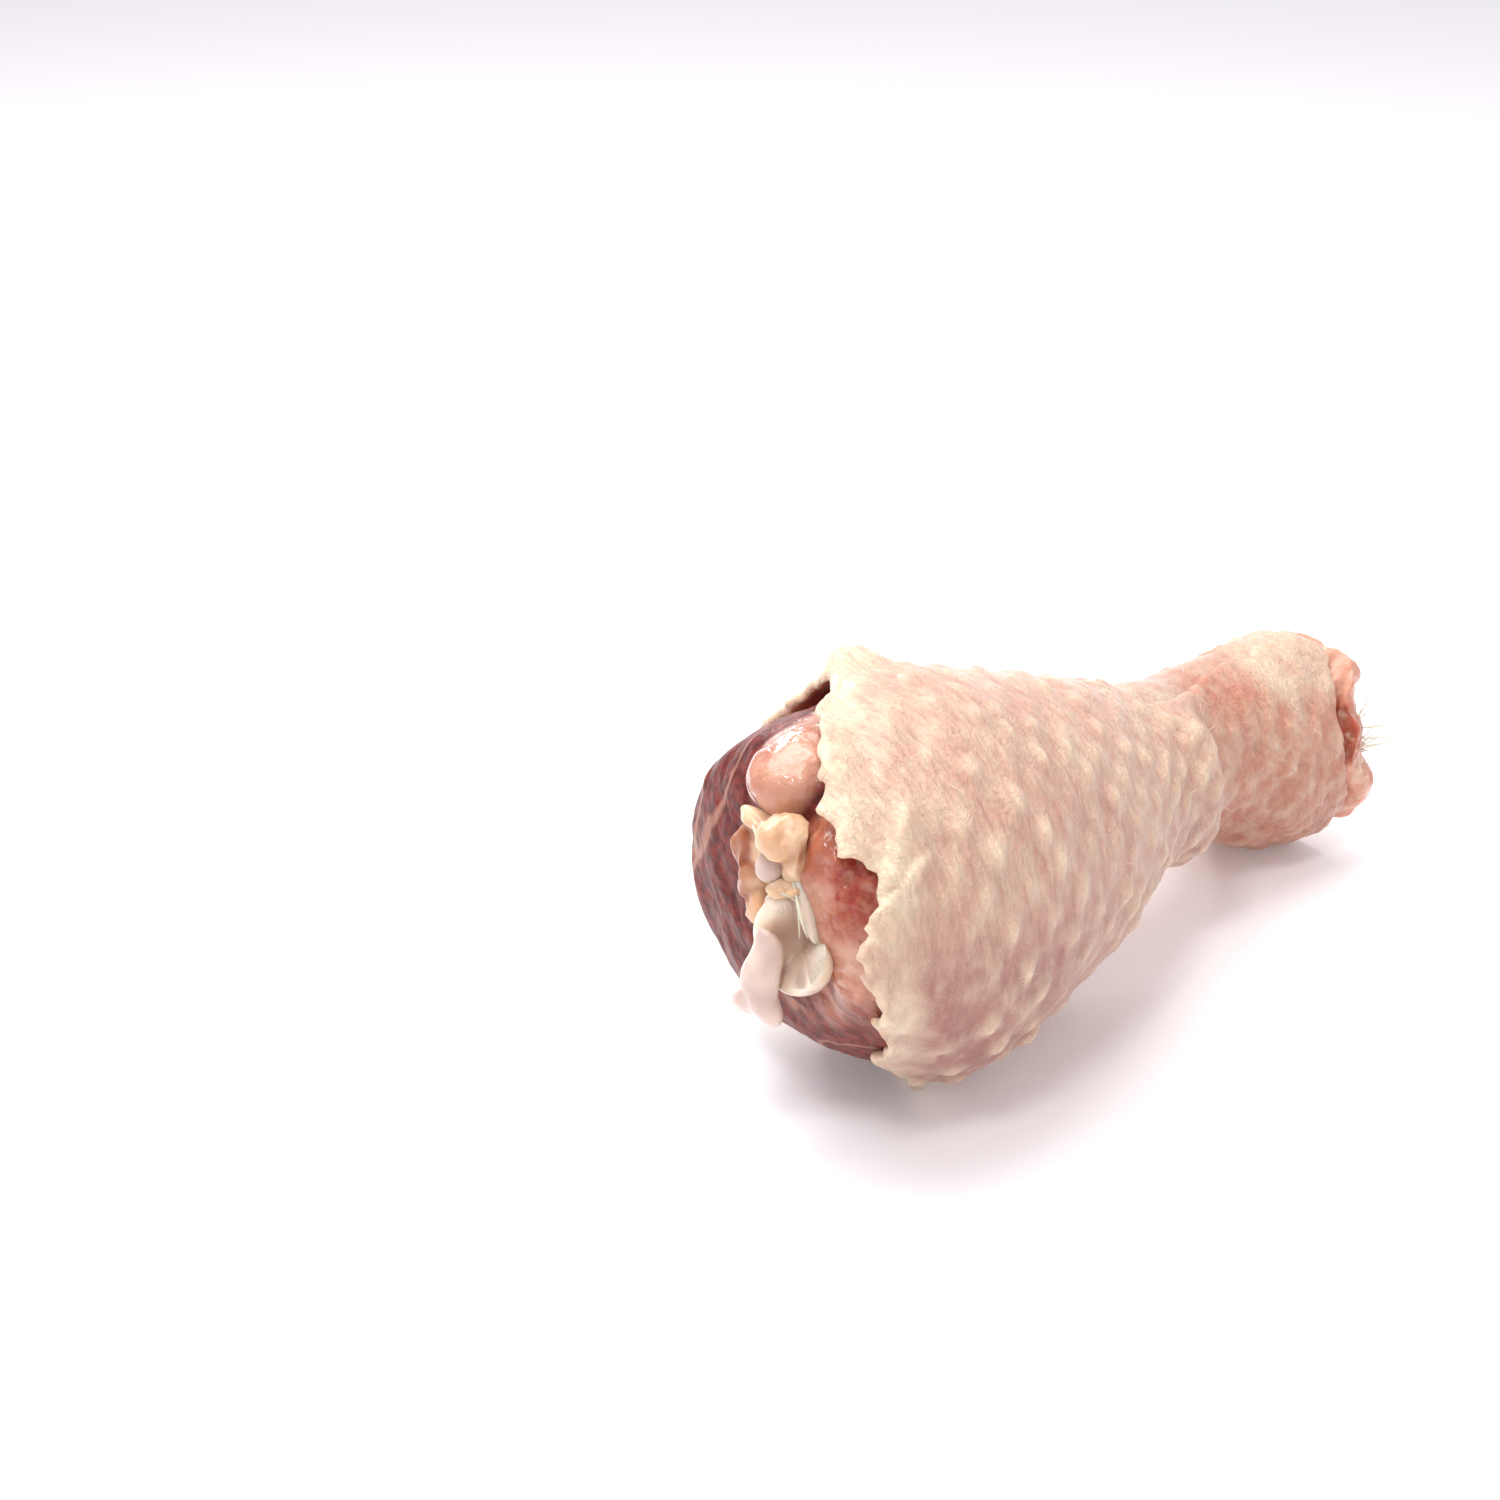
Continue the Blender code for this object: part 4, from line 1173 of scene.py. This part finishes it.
@dataclass
class FatPad:
    """Lumps of fat on the knee end, round the small bone's head."""

    lumps: tuple = (
        Blob((-6.3, 1.2, 39.0), (3.4, 4.6, 5.2)),
        Blob((-9.5, -3.5, 43.4), (3.2, 2.9, 2.9)),
        Blob((-8.5, 2.9, 43.0), (1.4, 2.6, 1.3), (18.0, 0.0, 0.0)),
        Blob((-8.0, 4.3, 38.5), (2.2, 2.0, 2.8)),
        Blob((-8.5, 2.7, 34.8), (2.2, 2.0, 3.4)),
        Blob((-9.0, 1.0, 31.8), (2.0, 1.8, 2.4)),
        Blob((-9.0, -5.2, 40.4), (1.9, 1.6, 3.2)),
    )
    # Small lobe under the small bone's head
    low_lobe: Blob = Blob((-10.2, -4.7, 37.3), (1.9, 2.3, 1.3), (-10.0, 0.0, 0.0))
    finish: SoftFat = field(default_factory=SoftFat)

    def depth(self, points: np.ndarray) -> np.ndarray:
        """Ellipsoids that run into each other."""
        return blobs_depth(points, self.lumps, 0.45)

    def low_depth(self, points: np.ndarray) -> np.ndarray:
        """The small lobe."""
        return blob_depth(points, self.low_lobe)

    @staticmethod
    def relief(points: np.ndarray) -> np.ndarray:
        """Rounded folds with creases between them, and small grains, in millimetres."""
        folds = 0.3 - np.abs(cloud(points, 2.9, 102, 2))
        return 1.3 * folds + 0.3 * cloud(points, 1.4, 101, 2)

    def paint(self, points: np.ndarray) -> Paint:
        """Peach painted shade where two lumps meet, and low down on the far side."""
        apart = np.sort(np.stack([blob_depth(points, lump) for lump in self.lumps]), axis=0)
        # Painted shade in the crease where two lumps meet
        hollow = ramp(1.0 - (apart[1] - apart[0]), 0.0, 1.0)
        shaded = ramp(points[..., 1], 0.0, 3.5) * ramp(42.5 - points[..., 2], 0.0, 2.0)
        return {Layer.DARK: np.clip(0.4 * hollow + 0.85 * shaded, 0.0, 1.0)}

    def build(self) -> list[bpy.types.Object]:
        """Make the pad and its small lobe."""
        material = self.finish.material()
        jobs = (
            ("knee_fat", "fat_pad", self.depth,
             Shell((-6.8, 1.9, 38.2), (-8.2, -1.6, 42.0), 200, (64, 12, 64), 20.0)),
            ("knee_fat_lobe", None, self.low_depth,
             Shell((-10.2, -5.2, 37.3), (-10.2, -4.2, 37.3), 72, (24, 4, 24), 6.0)),
        )
        return [wrapped_piece(name, node, shell, shape, self.relief, self.paint, material)
                for name, node, shape, shell in jobs]


@dataclass
class HockJoint:
    """The cut hock: lobes of tendon and joint skin round the bone's end."""

    inner_end: float = 88.3
    face: float = 102.0
    # The upper, lower, middle, top and far lobes, which stand out from the flat face
    lobes: tuple = (
        Blob((104.0, 2.0, 28.3), (5.5, 4.5, 5.5)),
        Blob((104.0, -2.6, 11.3), (5.5, 4.6, 6.6)),
        Blob((102.8, -1.0, 20.3), (5.0, 4.8, 6.5)),
        Blob((104.6, 9.5, 28.9), (4.6, 7.2, 5.0)),
        Blob((100.5, 15.5, 17.4), (6.5, 6.0, 9.5)),
    )
    # Small slit in the upper lobe, cut in and dark with painted shade: its middle and reach
    slit: tuple = ((101.8, -1.8, 28.4), (1.1, 1.6, 1.8))
    # Rings of folds on the upper and lower lobe: their middle, how much taller than wide, spacing
    curls: tuple = (((0.5, 28.5), 1.3, 3.2), ((-2.5, 11.8), 1.0, 3.0))
    inset: float = 1.5
    swell: float = 3.0
    swell_length: float = 2.6
    swell_start: float = 0.7
    evened: int = 6
    shell: Shell = Shell((91.5, 8.7, 17.2), (94.5, 7.5, 18.0), 260, (6, 4, 190), 26.0)
    finish: HockFlesh = field(default_factory=HockFlesh)

    def depth(self, points: np.ndarray) -> np.ndarray:
        """Lobes kept inside the skin, swelling past its rim, cut flat where the muscle ends."""
        lobes = merged([blobs_depth(points, self.lobes, 0.6), points[..., 0] - self.face], 0.7)
        lobes = lobes + 0.35 * cloud(points, 3.4, 111, 2)
        swell = self.swell * np.clip((self.past_rim(points) - self.swell_start) / self.swell_length, 0.0, 1.0)
        inside_skin = leg_depth(points, self.inset) - swell
        return np.maximum(np.maximum(lobes, inside_skin), self.inner_end - points[..., 0])

    def past_rim(self, points: np.ndarray) -> np.ndarray:
        """How far points lie past the skin's rim."""
        angle = np.degrees(np.arctan2(points[..., 2] - 16.6, points[..., 1] - 8.7)) % 360.0
        return points[..., 0] - follow(HOCK_EDGE, angle)[..., 0]

    def crevice(self, points: np.ndarray) -> np.ndarray:
        """The deep gap between the skin's rim and the middle lobe."""
        height = ramp(points[..., 2], 16.5, 19.0) * ramp(27.5 - points[..., 2], 0.0, 2.0)
        return ramp(3.4 - self.past_rim(points), 0.0, 2.0) * height * ramp(4.0 - points[..., 1], 0.0, 3.0)

    def relief(self, points: np.ndarray) -> np.ndarray:
        """Folds that curl round each lobe, the gaps between them, and small wrinkles."""
        curl = np.zeros(points.shape[:-1])
        for (across, height), stretch, pitch in self.curls:
            off = np.hypot(points[..., 1] - across, (points[..., 2] - height) / stretch)
            curl = curl + np.sin(off * 2 * math.pi / pitch) * hill(off, 4.0)
        groove = 1.3 * self.crevice(points) + 0.9 * bell(points, *self.slit)
        return 0.6 * curl + 0.35 * cloud(points, 1.6, 113, 2) - groove

    def paint(self, points: np.ndarray) -> Paint:
        """Painted shade between the near lobes, in the gap behind the rim and in the slit; less dark on the
        far half.
        """
        lobe = np.stack([blob_depth(points, blob) for blob in self.lobes[:2]]).min(axis=0)
        # Painted shade between the near lobes
        deep = ramp(lobe, 0.2, 2.2) * ramp(9.0 - points[..., 1], 0.0, 5.0)
        rest = 0.35 * ramp(points[..., 1], 6.0, 12.0)
        # Painted shade in the gap behind the rim and in the slit
        grooves = 0.9 * self.crevice(points) + 1.2 * bell(points, *self.slit)
        dark = 0.6 * deep + rest + grooves + 0.3 * cloud(points, 2.0, 112, 2)
        return {Layer.DARK: np.clip(dark, 0.0, 1.0)}

    def build(self) -> bpy.types.Object:
        """Make the filling."""
        return wrapped_piece("hock_filling", "hock_tissue", self.shell, self.depth,
                             self.relief, self.paint, self.finish.material(), self.evened)


@dataclass
class LooseFibres:
    """Torn strands of tendon at the hock, and fine hairs that plucking left on the skin."""

    strands: int = 22
    strand_start: Triple = (105.2, -3.4, 19.5)
    # Start, the point it bends towards and the end of each ligament at the knee, with its radius
    ligaments: tuple = (
        ((-10.4, -1.4, 33.6), (-12.2, -4.4, 38.6), (-10.6, -7.2, 36.8), 0.42),
        ((-10.2, -6.2, 38.9), (-11.6, -9.2, 35.6), (-10.6, -9.4, 32.6), 0.30),
        ((-10.0, -6.8, 38.4), (-11.2, -8.4, 35.2), (-10.8, -8.2, 32.0), 0.25),
        ((-9.6, 2.2, 43.4), (-11.4, -0.6, 42.6), (-11.2, -3.4, 42.0), 0.22),
    )
    strand_radius: float = 0.16
    hairs: int = 46
    hair_radius: float = 0.05
    seed: int = 5
    finish: HockFlesh = field(default_factory=lambda: HockFlesh(
        name="torn_tendon_strands", pink="F3E1C6", orange="E8CBA4", cream="FBF0DC",
        roughness=0.4))

    def strand_paths(self, chance: np.random.Generator) -> np.ndarray:
        """Curved paths that fan out from the hock's near side: a straight run plus a sideways bow."""
        start = np.array(self.strand_start) + chance.normal(0, (0.5, 0.8, 3.2), (self.strands, 3))
        length = chance.uniform(1.5, 7.5, (self.strands, 1))
        aim = np.array((0.9, -0.35, 0.15)) + chance.normal(0, (0.2, 0.35, 0.5), (self.strands, 3))
        aim /= np.linalg.norm(aim, axis=-1, keepdims=True)
        bow = chance.normal(0, 1.0, (self.strands, 3))
        share = np.linspace(0, 1, 12)[None, :, None]
        return start[:, None] + aim[:, None] * length[:, None] * share + bow[:, None] * share ** 2

    def hair_paths(self, chance: np.random.Generator) -> np.ndarray:
        """Short paths that leave the skin at a low angle and curl over."""
        on_knuckle = self.hairs // 2
        on_calf = self.hairs - on_knuckle
        along = np.concatenate([chance.uniform(62, 98, on_knuckle), chance.uniform(6, 62, on_calf)])
        angle = chance.uniform(70, 215, self.hairs)
        root = leg_surface(along, angle, 0.1)
        out = root - leg_surface(along, angle, 1.1)
        aim = out + chance.normal(0, 0.9, (self.hairs, 3))
        aim /= np.linalg.norm(aim, axis=-1, keepdims=True)
        length = chance.uniform(1.2, 3.2, (self.hairs, 1))
        bow = chance.normal(0, 0.8, (self.hairs, 3))
        share = np.linspace(0, 1, 10)[None, :, None]
        return root[:, None] + aim[:, None] * length[:, None] * share + bow[:, None] * share ** 2

    def ligament_paths(self) -> tuple[np.ndarray, np.ndarray]:
        """Arcs at the knee, each a square curve from its start towards a bend and on to its end."""
        share = np.linspace(0, 1, 20)[:, None]
        weights = ((1 - share) ** 2, 2 * share * (1 - share), share ** 2)
        arcs = [sum(weight * np.array(knot) for weight, knot in zip(weights, row[:3]))
                for row in self.ligaments]
        return np.stack(arcs), np.array([row[3] for row in self.ligaments])

    def build(self) -> list[bpy.types.Object]:
        """Make the ligaments, the strands and the hairs, each as one piece."""
        chance = np.random.default_rng(self.seed)
        material = self.finish.material()
        made = []
        strands, hairs = self.strand_paths(chance), self.hair_paths(chance)
        jobs = (("knee_ligaments", *self.ligament_paths()),
                ("hock_strands", strands, self.strand_radius * chance.uniform(0.6, 1.3, len(strands))),
                ("fine_hairs", hairs, self.hair_radius * chance.uniform(0.6, 1.3, len(hairs))))
        for name, paths, thick in jobs:
            points, quads, triangles = threads(paths, thick)
            paint = {Layer.DARK: np.zeros(len(points))}
            piece = new_piece(name, points, quads, triangles, paint, material)
            made.append(place_piece(piece, None))
        return made


@dataclass
class Studio:
    """Pale seamless floor, soft light from behind and above, and the photograph's point of view."""

    # The eye, in millimetres along the leg, and the photograph's turn and tilt in degrees
    eye: Triple = (-175.06, -194.60, 184.15)
    turn: float = -40.0
    tilt: float = 27.0
    lens: float = 57.6
    floor_colour: str = "FBFAFB"
    glow_colour: str = "FFFBFB"
    floor_glow: float = 0.12
    floor_reach: float = 3.0
    surround_colour: str = "FBF8FF"
    surround_strength: float = 0.66

    def camera(self) -> bpy.types.Object:
        """The photograph's camera, which sees the leg to the right of the frame's middle."""
        turn, tilt = math.radians(self.turn), math.radians(self.tilt)
        back = Vector((math.sin(turn) * math.cos(tilt), -math.cos(turn) * math.cos(tilt), math.sin(tilt)))
        right = Vector((math.cos(turn), math.sin(turn), 0.0))
        up = back.cross(right)
        facing = Matrix((right, up, back)).transposed()
        data = bpy.data.cameras.new("camera")
        data.lens = self.lens
        data.sensor_width = 36.0
        data.clip_start = 0.01
        camera = bpy.data.objects.new("camera", data)
        bpy.context.collection.objects.link(camera)
        place = Vector((np.array(self.eye) - ORIGIN) * MM)
        camera.matrix_world = Matrix.Translation(place) @ facing.to_4x4()
        bpy.context.scene.camera = camera
        return camera

    def floor(self) -> bpy.types.Object:
        """A wide pale table with a faint gloss."""
        side = self.floor_reach
        corners = [(-side, -side, 0), (side, -side, 0), (side, side, 0), (-side, side, 0)]
        mesh = bpy.data.meshes.new("floor")
        mesh.from_pydata(corners, [], [(0, 1, 2, 3)])
        floor = bpy.data.objects.new("floor", mesh)
        bpy.context.collection.objects.link(floor)
        material = bpy.data.materials.new("white_table")
        material.use_nodes = True
        shader = material.node_tree.nodes["Principled BSDF"]
        values = {
            "Base Color": linear(self.floor_colour), "Roughness": 0.35, "Specular IOR Level": 0.3,
            "Emission Color": linear(self.glow_colour), "Emission Strength": self.floor_glow,
        }
        for name, value in values.items():
            shader.inputs[name].default_value = value
        mesh.materials.append(material)
        return floor

    def lamp(self, name: str, place: tuple, size: float, power: float, colour: str) -> None:
        """A square soft light that points at the leg's middle."""
        data = bpy.data.lights.new(name, "AREA")
        data.size = size
        data.energy = power
        data.color = linear(colour)[:3]
        lamp = bpy.data.objects.new(name, data)
        bpy.context.collection.objects.link(lamp)
        lamp.location = place
        aim = Vector((0.0, 0.0, 0.02)) - Vector(place)
        lamp.rotation_euler = aim.to_track_quat("-Z", "Y").to_euler()

    def light(self) -> None:
        """A wide soft box above, two small windows for the glints, and an even pale surround."""
        world = bpy.data.worlds.new("surround")
        world.use_nodes = True
        background = world.node_tree.nodes["Background"]
        background.inputs["Color"].default_value = linear(self.surround_colour)
        background.inputs["Strength"].default_value = self.surround_strength
        bpy.context.scene.world = world
        self.lamp("top_softbox", (-0.04, 0.20, 0.60), 0.50, 3.95, "FFFEFC")
        self.lamp("front_window", (-0.27, -0.14, 0.52), 0.10, 0.8, "FFFFFF")
        self.lamp("back_window", (0.10, 0.42, 0.22), 0.10, 0.6, "FFFFFF")
        bpy.context.scene.view_settings.view_transform = "Standard"

    def build(self) -> None:
        """Set up the view, the floor and the light."""
        self.camera()
        self.floor()
        self.light()


def main() -> None:
    """Build the studio and the drumstick, piece by piece."""
    logging.basicConfig(level=logging.INFO, format="%(message)s")
    Studio().build()
    pieces = (SkinSleeve(), KneeMuscle(), ShinBone(), JointCartilage(), FatPad(), HockJoint(), LooseFibres())
    for piece in pieces:
        made = piece.build()
        for one in made if isinstance(made, list) else [made]:
            LOG.info("%s: %d points, %d faces", one.name, len(one.data.vertices), len(one.data.polygons))


if __name__ == "__main__":
    main()
